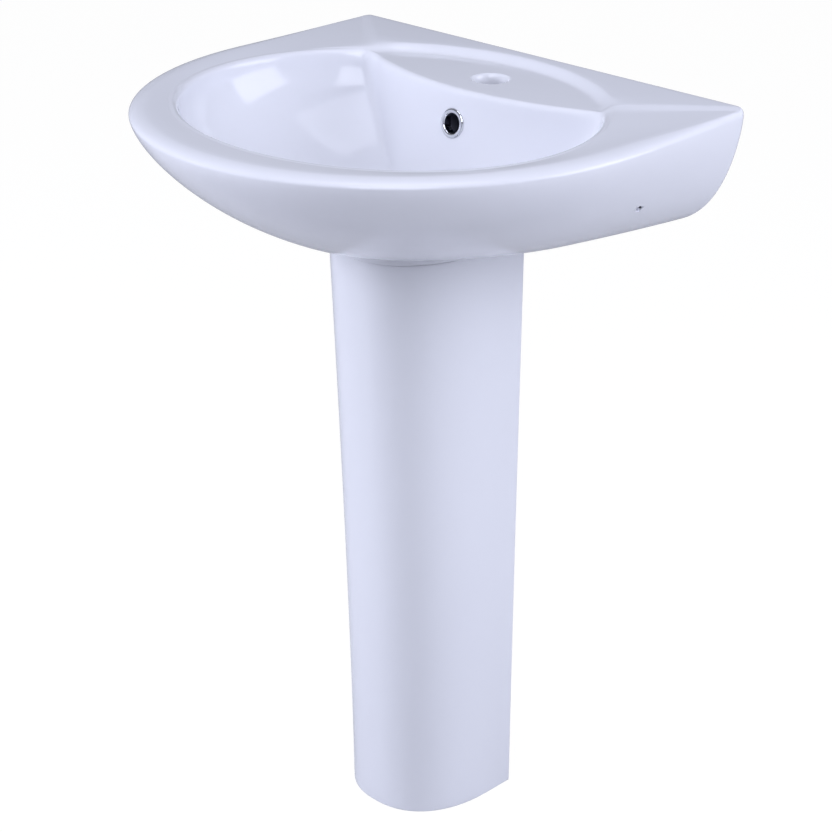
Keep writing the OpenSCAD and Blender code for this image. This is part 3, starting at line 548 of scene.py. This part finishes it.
def loft(rings, closed=True, join=False, caps=False):
    """A skin through rings of equal length. join closes the last ring onto the first."""
    bm = bmesh.new()

    def pairs(row):
        return zip(row, row[1:] + row[:1] if closed else row[1:])

    row = [bm.verts.new(p) for p in rings[0]]
    first = edges = [bm.edges.new(pair) for pair in pairs(row)]
    for points in rings[1:] + (rings[:1] if join else []):
        row = extrude_row(bm, row, edges, points)
        edges = [bm.edges.get(pair) for pair in pairs(row)]
    if caps:
        bmesh.ops.contextual_create(bm, geom=first)
        bmesh.ops.contextual_create(bm, geom=edges)
    clean(bm)
    return bm


def turned(profile, centre, towards=UP, steps=96):
    """A solid of revolution. profile holds (radius, height) points, and its axis points
    from centre towards a direction. A profile that is clear of the axis closes on itself."""
    bm = bmesh.new()
    row = [bm.verts.new((r, 0, z)) for r, z in profile]
    edges = [bm.edges.new(pair) for pair in zip(row, row[1:])]
    if profile[0][0] > TOUCH:
        edges.append(bm.edges.new((row[-1], row[0])))
    bmesh.ops.spin(bm, geom=row + edges, axis=(0, 0, 1), cent=(0, 0, 0), angle=2 * pi,
                   steps=steps, use_merge=True)
    clean(bm)
    tilt = towards.to_track_quat("Z", "Y").to_matrix().to_4x4()
    bmesh.ops.transform(bm, matrix=Matrix.Translation(centre) @ tilt, verts=bm.verts)
    return bm


def bar(start, end, r):
    """A round bar between two points."""
    long = (end - start).length
    return turned([(0, 0), (r, 0), (r, long), (0, long)], start, end - start, 64)


def bored(*bores):
    """Cuts for a number of bars."""
    return [("DIFFERENCE", bar(*bore)) for bore in bores]


def block(low, high):
    bm = bmesh.new()
    bmesh.ops.create_cube(bm, size=1)
    size = Matrix.Diagonal((high - low).to_4d())
    bmesh.ops.transform(bm, matrix=Matrix.Translation((low + high) / 2) @ size, verts=bm.verts)
    return bm


def new_object(name, bm):
    mesh = bpy.data.meshes.new(name)
    bm.to_mesh(mesh)
    bm.free()
    obj = bpy.data.objects.new(name, mesh)
    bpy.context.scene.collection.objects.link(obj)
    return obj


def settle(obj):
    """Puts what the modifiers make into the object's own mesh."""
    graph = bpy.context.evaluated_depsgraph_get()
    mesh = bpy.data.meshes.new_from_object(obj.evaluated_get(graph))
    obj.modifiers.clear()
    obj.data = mesh


def cut(obj, tools):
    """Cuts away or joins each tool, given as (operation, mesh), and removes the tools."""
    made = []
    for operation, bm in tools:
        tool = new_object("tool", bm)
        tool.hide_render = True
        made.append(tool)
        modifier = obj.modifiers.new(operation, "BOOLEAN")
        modifier.operation, modifier.solver, modifier.object = operation, "EXACT", tool
    settle(obj)
    for tool in made:
        bpy.data.objects.remove(tool, do_unlink=True)


def finish(obj, body, slot, context, *nodes, sharp=35):
    """Shades a new piece, hangs it on its body and hides the nodes that it stands for."""
    obj.data.shade_smooth()
    obj.data.set_sharp_from_angle(angle=radians(sharp))
    obj.data.materials.clear()
    obj.data.materials.append(material(slot, context))
    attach(obj, body)
    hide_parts(*nodes)


def subdivide(obj):
    modifier = obj.modifiers.new("Smooth", "SUBSURF")
    modifier.levels = modifier.render_levels = 1


# Materials

class Value:
    """A shader socket that adds Math nodes when it is used in a sum or product."""

    def __init__(self, shader, socket):
        self.shader = shader
        self.socket = socket

    def _math(self, operation, a, b):
        return self.shader.node("ShaderNodeMath", {0: a, 1: b}, operation=operation)

    def __add__(self, other):
        return self._math("ADD", self, other)

    def __sub__(self, other):
        return self._math("SUBTRACT", self, other)

    def __rsub__(self, other):
        return self._math("SUBTRACT", other, self)

    def __mul__(self, other):
        return self._math("MULTIPLY", self, other)

    __radd__, __rmul__ = __add__, __mul__

    def clipped(self):
        return self.shader.node("ShaderNodeClamp", {"Value": self})


class Shader:
    """The nodes of a material or a world, and one way to add any node."""

    def __init__(self, owner, output):
        owner.use_nodes = True
        self.tree = owner.node_tree
        self.tree.nodes.clear()
        self.out = self.tree.nodes.new(output)

    def show(self, value):
        self.tree.links.new(value.socket, self.out.inputs[0])

    def put(self, node, values):
        for key, value in values.items():
            socket = node.inputs[key.replace("_", " ") if isinstance(key, str) else key]
            if isinstance(value, Value):
                self.tree.links.new(value.socket, socket)
            else:
                socket.default_value = value

    def node(self, kind, values, output=0, **settings):
        node = self.tree.nodes.new(kind)
        for key, value in settings.items():
            setattr(node, key, value)
        self.put(node, values)
        return Value(self, node.outputs[output])

    def place(self, scale=(1, 1, 1)):
        """Object coordinates in metres, stretched by scale."""
        at = self.node("ShaderNodeTexCoord", {}, "Object")
        return self.node("ShaderNodeMapping", {"Vector": at, "Scale": scale})

    def noise(self, at, scale, detail=2.0):
        values = {"Vector": at, "Scale": scale, "Detail": detail}
        return self.node("ShaderNodeTexNoise", values, "Fac")

    def blend(self, factor, a, b):
        return self.node("ShaderNodeMix", {0: factor, 6: a, 7: b}, 2, data_type="RGBA")

    def bump(self, height, strength, distance):
        return self.node("ShaderNodeBump", {
            "Height": height, "Strength": strength, "Distance": distance}, "Normal")

    def ray(self, kind):
        return self.node("ShaderNodeLightPath", {}, kind)

    def choose(self, factor, a, b):
        return self.node("ShaderNodeMixShader", {0: factor, 1: a, 2: b})


class Finish(Shader):
    """A new material with its Principled node."""

    def __init__(self, name, **values):
        self.material = bpy.data.materials.new(name)
        super().__init__(self.material, "ShaderNodeOutputMaterial")
        self.main = self.tree.nodes.new("ShaderNodeBsdfPrincipled")
        self.plain = Value(self, self.main.outputs[0])
        self.show(self.plain)
        self.put(self.main, values)

    def two_tone(self, spread, tint, gain, rough, rougher, normal):
        """Two tones of a colour, the second at a gain, and a roughness that grows with it."""
        self.put(self.main, {
            "Base Color": self.blend(spread, rgba(tint), rgba(tint, gain)),
            "Roughness": rough + spread * rougher,
            "Normal": normal})
        return self.material


def rgba(c, gain=1.0):
    return tuple(min(1.0, v * gain) for v in c[:3]) + (1.0,)


def glazed_china(name, look):
    """Vitreous china: a deep even glaze with faint tone, soft waves and rare pinholes."""
    s = Finish(name, IOR=1.47, Specular_IOR_Level=0.34, Coat_Roughness=0.05, Coat_IOR=1.45)
    at = s.place()
    tone = s.noise(at, 5.0, 3.0)
    pinhole = s.node("ShaderNodeTexVoronoi", {"Vector": at, "Scale": 38.0}, "Distance")
    speck = (1 - pinhole * 42.0).clipped()
    base = s.blend(tone, rgba(look.glaze), rgba(look.glaze_shade))
    s.put(s.main, {
        "Base Color": s.blend(speck * 0.10, base, rgba(look.glaze_shade, 0.7)),
        "Roughness": 0.08 + s.noise(at, 14.0) * 0.04,
        "Coat Weight": 0.10 + tone * 0.08,
        "Normal": s.bump(s.noise(at, 22.0, 1.0), 0.10, 0.001)})
    return s.material


def clay_in_painted_shade(name, look):
    """Unglazed clay inside the overflow, painted near black as the shade deep in its bores."""
    s = Finish(name)
    at = s.place()
    return s.two_tone(s.noise(at, 120.0, 4.0), look.clay, 1.8, 0.75, 0.15,
                      s.bump(s.noise(at, 600.0), 0.15, 0.0004))


def polished_chrome(name, look):
    """Bright plating under a thin uneven film."""
    s = Finish(name, Metallic=1.0)
    at = s.place()
    return s.two_tone(s.noise(at, 60.0, 4.0), look.chrome, 0.9, 0.04, 0.06,
                      s.bump(s.noise(at, 240.0), 0.03, 0.0003))


def turned_brass(name, look):
    """Dulled brass with the uneven rings that a lathe tool leaves."""
    s = Finish(name, Metallic=1.0)
    at = s.place()
    rings = s.node("ShaderNodeTexWave", {
        "Vector": at, "Scale": 260.0, "Distortion": 0.6, "Detail": 2.0}, "Fac",
        wave_type="RINGS", rings_direction="Z")
    return s.two_tone(s.noise(at, 30.0, 4.0), look.brass, 0.72, 0.22, 0.18,
                      s.bump(rings, 0.06, 0.0003))


def bright_steel(name, look):
    """Drawn steel with its grain along Z."""
    s = Finish(name, Metallic=1.0)
    grain = s.noise(s.place((1, 1, 0.1)), 420.0, 3.0)
    return s.two_tone(grain, look.steel, 0.85, 0.18, 0.14, s.bump(grain, 0.05, 0.0002))


def seal_rubber(name, look):
    """Dark rubber with a pale bloom."""
    s = Finish(name)
    at = s.place()
    return s.two_tone(s.noise(at, 45.0, 4.0), look.rubber, 2.2, 0.6, 0.2,
                      s.bump(s.noise(at, 700.0), 0.12, 0.0004))


def moulded_plastic(name, look):
    """Plastic with a faint haze over a fine grain."""
    s = Finish(name, IOR=1.46)
    at = s.place()
    return s.two_tone(s.noise(at, 18.0, 3.0), look.plastic, 0.93, 0.28, 0.12,
                      s.bump(s.noise(at, 520.0), 0.08, 0.0003))


# Name and maker of each slot's material, and of the unglazed clay inside the overflow, painted near
# black as its shade
FINISHES = {
    "china": ("glazed china", glazed_china),
    "clay": ("bare clay", clay_in_painted_shade),
    "chrome": ("polished chrome", polished_chrome),
    "brass": ("turned brass", turned_brass),
    "steel": ("bright steel", bright_steel),
    "rubber": ("seal rubber", seal_rubber),
    "white_plastic": ("moulded plastic", moulded_plastic),
}


def material(kind, context):
    """A material of FINISHES, made the first time that a piece asks for it."""
    name, make = FINISHES[kind]
    return bpy.data.materials.get(name) or make(name, context.scene.sink_look)


# Operators, one for each piece or group of like pieces

class SINK_OT_basin(bpy.types.Operator):
    """Builds the glazed basin in place of its construction solid"""
    bl_idname = "sink.basin"
    bl_label = "Basin"

    # Soft edges of the waste hole, recess and boss, and the toe where the boss starts
    edge, boss_toe = 0.0006, 0.004
    # How far the side deck runs out while the ledge, and then the step behind it, is crossed
    beside_ledge, beside_step = 0.0014, 0.0021
    # The collar's lap over the pads: its edge, its width, and the row that holds its face
    lap_edge, lap_w, lap_hold = 0.0004, 0.0018, 0.002
    # The channel's ends as shares of its length: its casting's, and the top of its bore
    cast_top, cast_foot, bore_top = -0.26, 1.08, -0.05
    # Where the port's casting and bore start behind the waste, and how high in the boss
    port_back, port_height = 1.2, 0.4
    # Gap from the channel's bore to the bowl's back wall, room round the overflow ring's face,
    # and how far the hollow's mouth reaches up and down from the china's underside
    channel_gap, face_gap, mouth_h = 0.001, 0.0003, 0.0015
    # How far a cutter stands out of the overflow, in thicknesses of its ring's face, and out
    # of a flank hole's mouth, in its radii
    face_reach, vent_reach = 5, 3
    # Which share of a bore gets the near-black clay of painted shade, and how near to it a face
    # lies
    bare_from, bare_to, bare_near = 0.2, 1.01, 0.0005
    # Softening passes at the ledge's ends, as shares of their reach
    soft_passes = (1, 0.95, 0.9, 0.85, 0.8, 0.75, 0.7, 0.65)

    def execute(self, context):
        lines = BasinLines(context.scene.sink_basin)
        skin = loft(self.rings(lines), join=True)
        self.soften(skin, lines)
        basin = new_object("basin_china", skin)
        subdivide(basin)
        settle(basin)
        cut(basin, self.tools(lines))
        finish(basin, "sink", "china", context, "basin")
        # Second material: the clay deep in the overflow's bores, painted near black as their shade
        basin.data.materials.append(material("clay", context))
        self.paint_bore_shade(basin, self.passage(lines))
        return {"FINISHED"}

    def rings(self, lines):
        """Up the waste hole, over the recess, bowl, lip, ledge, rim and flank, round the
        collar and back in to the boss."""
        s, soft = lines.s, self.edge
        floor_z, under_z = -s.bowl_depth, -s.bowl_depth - s.china_t
        recess_z = floor_z - s.recess_t
        boss_z = recess_z - s.boss_h
        foot, lap_z = COLLAR_FOOT, COLLAR_FOOT - s.collar_lap
        rings = [lines.round_ring(r, z) for r, z in [
            (s.waste_hole_r, boss_z + soft), (s.waste_hole_r, mix(boss_z, recess_z, 0.5)),
            (s.waste_hole_r, recess_z - soft), (s.waste_hole_r + soft, recess_z),
            (s.recess_r - soft, recess_z), (s.recess_r, recess_z + soft),
            (s.recess_r, floor_z - soft), (s.recess_r + soft, floor_z)]]
        rings += [lines.bowl_ring(1 - t ** 1.5) for t in fractions(18, 0)]
        rings += [lines.lip_ring(radians(a)) for a in (20, 40, 60, 80, 90)]
        rings += [lines.ledge_ring(t, 0, t * self.beside_ledge) for t in (0.15, 0.5, 0.85, 1)]
        rings += [lines.ledge_ring(1 + t, smooth(t), self.beside_ledge + t * self.beside_step)
                  for t in (0.15, 0.3, 0.45, 0.6, 0.75, 0.9, 1)]
        rings += [lines.rim_ring(radians(a)) for a in (0, 12, 24, 36, 48, 60, 72, 82)]
        rings += [lines.flank_ring(t ** 2.2) for t in fractions(24, 0)]
        rings += [lines.fillet_ring(radians(a)) for a in (15, 30, 45, 60, 75, 90)]
        rings += [lines.level(lines.inset(lines.collar, lambda k, w=w: w), z)
                  for w, z in [(0, foot + self.lap_hold), (0, lap_z + self.lap_edge),
                               (self.lap_edge, lap_z), (self.lap_w - self.lap_edge, lap_z),
                               (self.lap_w, foot)]]
        rings += [lines.level(lines.collar_in, z)
                  for z in (foot, mix(foot, under_z, 0.5), under_z - soft, under_z)]
        return rings + [lines.round_ring(r, z) for r, z in [
            (s.floor_r + self.boss_toe, under_z), (s.floor_r, under_z),
            (s.floor_r, under_z - soft), (s.floor_r, boss_z + soft),
            (s.floor_r - soft, boss_z), (s.waste_hole_r + soft, boss_z)]]

    def soften(self, skin, lines):
        """Rounds the meeting of ledge, lip and crease at both ends of the ledge."""
        s = lines.s
        for side in (-1, 1):
            end = point(side * s.ledge_half_w, lines.ledge_edge(s.ledge_half_w).y, -s.lip_drop)
            for reach in self.soft_passes:
                near = [v for v in skin.verts if (v.co - end).length < s.ledge_end_soft * reach]
                bmesh.ops.smooth_vert(skin, verts=near, factor=0.5,
                                      use_axis_x=True, use_axis_y=True, use_axis_z=True)

    def tools(self, lines):
        """What is cut out of the basin and cast onto it, in turn."""
        s = lines.s
        roof, sill = -s.ledge_drop - s.deck_t, -s.flank_h + 2 * s.china_t
        under_z = -s.bowl_depth - s.china_t
        hollow = [lines.hollow_ring(mix(roof, sill, t)) for t in fractions(16, 0)]
        hollow += [lines.hollow_mouth(under_z + up) for up in (self.mouth_h, -self.mouth_h)]
        top, foot, port = self.channel(lines)
        behind = port - FORWARD * s.waste_hole_r * self.port_back
        over, facing = lines.overflow()
        tools = [("DIFFERENCE", loft(hollow, caps=True)),
                 ("UNION", bar(mix(top, foot, self.cast_top), mix(top, foot, self.cast_foot),
                               s.overflow_r + s.channel_wall)),
                 ("UNION", bar(behind, foot, s.port_r + s.channel_wall))]
        tools += bored(*self.passage(lines),
                       (over, over + facing * self.face_reach * s.overflow_face_t,
                        s.overflow_face_r + self.face_gap))
        tools.append(("DIFFERENCE", self.tap_hole(s)))
        flank = lines.vent()
        for side in (-1, 1):
            bolt = point(side * s.wall_hole_gap / 2, 0, -s.wall_hole_z)
            vent = point(side * flank.x, flank.y, -s.vent_z)
            out = Vector((side * cos(s.vent_turn), -sin(s.vent_turn), 0))
            tools += bored(
                (bolt - FORWARD * PAST, bolt + FORWARD * (s.china_t + PAST), s.wall_hole_r),
                (vent - out * s.vent_len, vent, s.vent_core_r),
                (vent - out * s.vent_dent, vent + out * self.vent_reach * s.vent_r, s.vent_r))
        return tools

    def channel(self, lines):
        """Top and foot of the overflow channel, and its port's place in the waste hole."""
        s = lines.s
        port_z = -s.bowl_depth - s.recess_t - s.boss_h * self.port_height
        top_d = lines.back_wall_d(s.overflow_z) - s.china_t - s.channel_r - self.channel_gap
        foot_d = top_d - s.channel_slope * (port_z + s.overflow_z)
        return point(0, top_d, -s.overflow_z), point(0, foot_d, port_z), point(0, WASTE_D, port_z)

    def passage(self, lines):
        """Start, end and radius of the bores that join the overflow to the waste hole."""
        s = lines.s
        top, foot, port = self.channel(lines)
        at, facing = lines.overflow()
        return [(mix(top, foot, self.bore_top), foot, s.channel_r), (port, foot, s.port_r),
                (at + facing * PAST, at - facing * (s.china_t + 1.5 * s.channel_r), s.overflow_r)]

    def paint_bore_shade(self, basin, passage):
        """Gives the faces deep in the overflow's bores the unglazed clay that is painted near black
        as their shade.
        """
        for face in basin.data.polygons:
            for start, end, r in passage:
                near, way = intersect_point_line(face.center, start, end)
                deep = self.bare_from < way < self.bare_to
                if deep and (face.center - near).length < r + self.bare_near:
                    face.material_index = 1

    def tap_hole(self, s):
        """A cutter whose mouth flares in a quarter of an oval."""
        ease, r = s.tap_hole_ease, s.tap_hole_r
        profile = [(0, -s.deck_t * 2), (r, -s.deck_t * 2)]
        profile += [(r + ease * (1 - cos(a)), s.tap_hole_ease_h * (sin(a) - 1))
                    for a in quarter(8, 0)]
        profile += [(r + ease, PAST), (0, PAST)]
        return turned(profile, point(0, s.tap_hole_d, -s.ledge_drop))


class SINK_OT_pedestal(bpy.types.Operator):
    """Builds the glazed pedestal in place of its construction solid"""
    bl_idname = "sink.pedestal"
    bl_label = "Pedestal"

    def execute(self, context):
        s = context.scene.sink_pedestal
        rows = [self.row(s, u) for u in fractions(16, 0)]
        skin = new_object("pedestal_china", loft(rows, closed=False))
        wall = skin.modifiers.new("Wall", "SOLIDIFY")
        wall.thickness, wall.offset, wall.use_even_offset = s.wall_t, self.inward(skin), True
        edge = skin.modifiers.new("Edge", "BEVEL")
        edge.width, edge.segments, edge.limit_method = s.edge_r, 3, "ANGLE"
        edge.angle_limit = radians(50)
        subdivide(skin)
        settle(skin)
        cut(skin, self.lugs(s))
        finish(skin, "sink", "china", context, "pedestal")
        return {"FINISHED"}

    def lugs(self, s):
        """Two fixing lugs with screw holes, joined to the wall at the foot."""
        r, up = s.lug_hole_inset, UP * s.lug_h
        tools = []
        for side in (-1, 1):
            at = Vector((side * (s.foot_half_w - s.wall_t - r), PEDESTAL_HIGH.y - r, 0))
            reach = Vector((side * (r + s.wall_t / 2), 0, 0))
            low, high = at - Vector((0, r, 0)), at + reach + Vector((0, r, s.lug_h))
            if side < 0:
                low.x, high.x = high.x, low.x
            tools += [("UNION", bar(at, at + up, r)), ("UNION", block(low, high)),
                      *bored((at - UP * PAST, at + up + UP * PAST, s.lug_hole_r))]
        return tools

    def inward(self, skin):
        """Solidify's offset that puts the wall's thickness inside the skin."""
        face = max(skin.data.polygons, key=lambda f: f.center.x)
        return -1 if face.normal.x > 0 else 1

    def row(self, s, u):
        back_d = WALL_Y - PEDESTAL_HIGH.y
        rise = u ** s.flare
        w = mix(s.foot_half_w, PEDESTAL_HIGH.x, rise)
        front = mix(s.foot_front_d, WALL_Y - PEDESTAL_LOW.y, rise)
        curve_d = back_d + (front - back_d) * s.side_share
        line = [Vector((w, mix(back_d, curve_d, t))) for t in (0, 0.34, 0.67, 1)]
        line += section_curve(w, curve_d, front, s.squareness, 28)
        z = PEDESTAL_HIGH.z * u
        half = [Vector((p.x, WALL_Y - p.y, z)) for p in line]
        return half + [Vector((-p.x, p.y, p.z)) for p in half[-2::-1]]


class SINK_OT_trim(bpy.types.Operator):
    """Turns the chrome overflow ring and the chrome plug cap"""
    bl_idname = "sink.trim"
    bl_label = "Trim"

    # Room round the ring's sleeve, and the chamfer under the cap
    sleeve_gap, cap_rim = 0.0001, 0.0008

    def execute(self, context):
        lines = BasinLines(context.scene.sink_basin)
        at, facing = lines.overflow()
        ring = new_object("overflow_trim", turned(self.ring_profile(lines.s), at, facing, 128))
        finish(ring, "sink", "chrome", context, "overflow_ring", sharp=50)
        middle = (CAP_LOW + CAP_HIGH) / 2
        cap = turned(self.cap_profile(), Vector((middle.x, middle.y, CAP_LOW.z)), UP, 128)
        finish(new_object("plug_cap_trim", cap), "plug", "chrome", context, "plug_cap", sharp=50)
        return {"FINISHED"}

    def ring_profile(self, s):
        """A sleeve in the hole with a quarter round outside and inside its face."""
        outer, t = s.overflow_r - self.sleeve_gap, s.overflow_face_t
        bore, face = outer - s.overflow_wall, quarter(16, 0)
        profile = [(bore, -s.overflow_sleeve), (outer, -s.overflow_sleeve), (outer, 0)]
        profile += [(s.overflow_face_r - t * (1 - cos(a)), t * sin(a)) for a in face]
        return profile + [(bore + t * (1 - cos(a)), t * sin(a)) for a in face[::-1]]

    def cap_profile(self):
        """A dome over a small chamfer."""
        r, h, rim = CAP_HIGH.x, CAP_HIGH.z - CAP_LOW.z, self.cap_rim
        dome = [(r * cos(a), rim + (h - rim) * sin(a)) for a in quarter(24)]
        return [(0, 0), (r - rim, 0), (r, rim), *dome[:-1], (0, h)]


class SINK_OT_spring(bpy.types.Operator):
    """Winds the plug's return spring at the length of its part"""
    bl_idname = "sink.spring"
    bl_label = "Spring"

    def execute(self, context):
        s = context.scene.sink_spring
        low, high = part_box("plug_spring")
        foot = Vector(((low.x + high.x) / 2, (low.y + high.y) / 2, low.z))
        long = high.z - low.z
        coil = new_object("spring_coil", self.wound(s, foot, high.x - foot.x, long))
        finish(coil, "sink", "steel", context, "plug_spring", sharp=60)
        joint = next(j for j in frame["record"]["behaviour"]["joints"] if j["name"] == "plug_slide")
        1 + min(joint["range_m"]) / long
        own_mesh(coil)
        return {"FINISHED"}

    def wound(self, s, foot, outer, long):
        """Wire of a round section, spun round the coil's axis while it rises."""
        bm = bmesh.new()
        steps = 48 * s.turns
        start = Matrix.Translation((outer - s.wire_r, 0, s.wire_r))
        bmesh.ops.create_circle(bm, segments=16, radius=s.wire_r,
                                matrix=start @ Matrix.Rotation(pi / 2, 4, "X"))
        rise = UP * (long - 2 * s.wire_r) / steps
        bmesh.ops.spin(bm, geom=bm.verts[:] + bm.edges[:], axis=UP, cent=(0, 0, 0), dvec=rise,
                       angle=2 * pi * s.turns, steps=steps)
        bmesh.ops.holes_fill(bm, edges=[e for e in bm.edges if e.is_boundary])
        bmesh.ops.recalc_face_normals(bm, faces=bm.faces)
        bmesh.ops.transform(bm, matrix=Matrix.Translation(foot), verts=bm.verts)
        return bm


class SINK_OT_fittings(bpy.types.Operator):
    """Gives every metal, rubber and plastic fitting its own finish"""
    bl_idname = "sink.fittings"
    bl_label = "Fittings"

    def execute(self, context):
        slots = {part["node"]: part["material_slot"] for part in frame["record"]["subparts"]}
        for node, obj in frame["nodes"].items():
            chosen = material(slots[node], context)
            if not obj.material_slots:
                obj.data.materials.append(chosen)
            for place in obj.material_slots:
                place.material = chosen
        return {"FINISHED"}


class SINK_OT_stage(bpy.types.Operator):
    """Lays the pale floor, hangs the soft lights and sets the camera"""
    bl_idname = "sink.stage"
    bl_label = "Stage"

    # Where each softbox hangs, its width and height, and whether the glaze mirrors it
    softboxes = {"left": ((-1.86, -1.96, 1.4), (1.3, 1.8), False),
                 "right": ((2.15, 1.25, 1.5), (1.7, 2.2), True),
                 "front": ((1.35, -1.45, 2.45), (1.3, 1.8), True),
                 "top": ((0, 0, 3.0), (1.3, 1.3), True)}
    # What they are turned to
    lit = Vector((0, 0, 0.55))
    # The camera in degrees and millimetres, and what it looks at, from the middle of the
    # deck's back edge
    azimuth, elevation, lens, sensor_w = 45.14, 24.37, 93.39, 36.0
    seen = (-0.1822, 0.008, -0.4713)
    # Half size of the floor, and its gap under the foot so that the two faces don't meet
    floor_half, floor_gap = 6.0, 0.0003
    # The floor's two tones
    floor_pale, floor_dim = (0.66, 0.66, 0.67), (0.64, 0.64, 0.65)
    # How much of the floor is a white glow to the camera, and how strong the glow is
    glow_share, glow_strength = 0.93, 1.05

    def execute(self, context):
        look = context.scene.sink_studio
        self.floor()
        self.room(context.scene, look)
        for name, (place, size, mirrored) in self.softboxes.items():
            self.softbox(look, name + " light", Vector(place), size,
                         getattr(look, name + "_light"), mirrored)
        self.camera(context.scene, look.distance)
        context.scene.view_settings.view_transform = "Standard"
        return {"FINISHED"}

    def floor(self):
        bm = bmesh.new()
        bmesh.ops.create_grid(bm, x_segments=4, y_segments=4, size=self.floor_half,
                              matrix=Matrix.Translation(-UP * self.floor_gap))
        obj = new_object("floor", bm)
        s = Finish("pale floor")
        tone = s.noise(s.place(), 3.0, 4.0)
        s.put(s.main, {
            "Base Color": s.blend(tone, rgba(self.floor_pale), rgba(self.floor_dim)),
            "Roughness": 0.7 + tone * 0.1})
        glow = s.node("ShaderNodeEmission", {"Strength": self.glow_strength})
        s.show(s.choose(s.ray("Is Camera Ray") * self.glow_share, s.plain, glow))
        obj.data.materials.append(s.material)

    def room(self, scene, look):
        """White for the camera, and even light that has its own strength in reflections."""
        scene.world = bpy.data.worlds.new("studio")
        s = Shader(scene.world, "ShaderNodeOutputWorld")

        def even(tint, strength):
            return s.node("ShaderNodeBackground", {"Color": rgba(tint), "Strength": strength})

        seen = (s.ray("Is Camera Ray") + s.ray("Is Transmission Ray")).clipped()
        lit = s.choose(s.ray("Is Glossy Ray"), even(look.light_colour, look.room_light),
                       even(look.light_colour, look.mirrored_room))
        s.show(s.choose(seen, lit, even((1, 1, 1), 1.0)))

    def softbox(self, look, name, place, size, power, mirrored):
        lamp = bpy.data.lights.new(name, "AREA")
        lamp.shape, lamp.energy, lamp.color = "RECTANGLE", power, look.light_colour
        lamp.size, lamp.size_y = size
        obj = bpy.data.objects.new(name, lamp)
        obj.visible_glossy = mirrored
        obj.location = place
        obj.rotation_euler = (place - self.lit).to_track_quat("Z", "Y").to_euler()
        bpy.context.scene.collection.objects.link(obj)

    def camera(self, scene, distance):
        around, up = radians(self.azimuth), radians(self.elevation)
        back = Vector((sin(around) * cos(up), -cos(around) * cos(up), sin(up)))
        data = bpy.data.cameras.new("camera")
        data.sensor_width, data.lens = self.sensor_w, self.lens
        obj = bpy.data.objects.new("camera", data)
        obj.location = point(*self.seen) + back * distance
        obj.rotation_euler = back.to_track_quat("Z", "Y").to_euler()
        scene.collection.objects.link(obj)
        scene.camera = obj


class SINK_PT_panel(bpy.types.Panel):
    bl_idname = "SINK_PT_panel"
    bl_label = "Pedestal Sink"
    bl_space_type = "VIEW_3D"
    bl_region_type = "UI"
    bl_category = "Sink"

    def draw(self, context):
        for operator in OPERATORS:
            self.layout.operator(operator.bl_idname)
        for group in GROUPS:
            box = self.layout.box()
            for name in getattr(context.scene, group).__annotations__:
                box.prop(getattr(context.scene, group), name)


OPERATORS = [SINK_OT_basin, SINK_OT_pedestal, SINK_OT_trim, SINK_OT_spring, SINK_OT_fittings,
             SINK_OT_stage]
GROUPS = {"sink_basin": BasinShape, "sink_pedestal": PedestalShape, "sink_spring": SpringShape,
          "sink_look": SinkLook, "sink_studio": StudioLook}
CLASSES = [*GROUPS.values(), *OPERATORS, SINK_PT_panel]


def register():
    for cls in CLASSES:
        bpy.utils.register_class(cls)
    for name, group in GROUPS.items():
        setattr(bpy.types.Scene, name, PointerProperty(type=group))


def unregister():
    for name in GROUPS:
        delattr(bpy.types.Scene, name)
    for cls in reversed(CLASSES):
        bpy.utils.unregister_class(cls)


def main():
    register()
    bpy.ops.sink.basin()
    bpy.ops.sink.pedestal()
    bpy.ops.sink.trim()
    bpy.ops.sink.spring()
    bpy.ops.sink.fittings()
    bpy.ops.sink.stage()


if __name__ == "__main__":
    main()
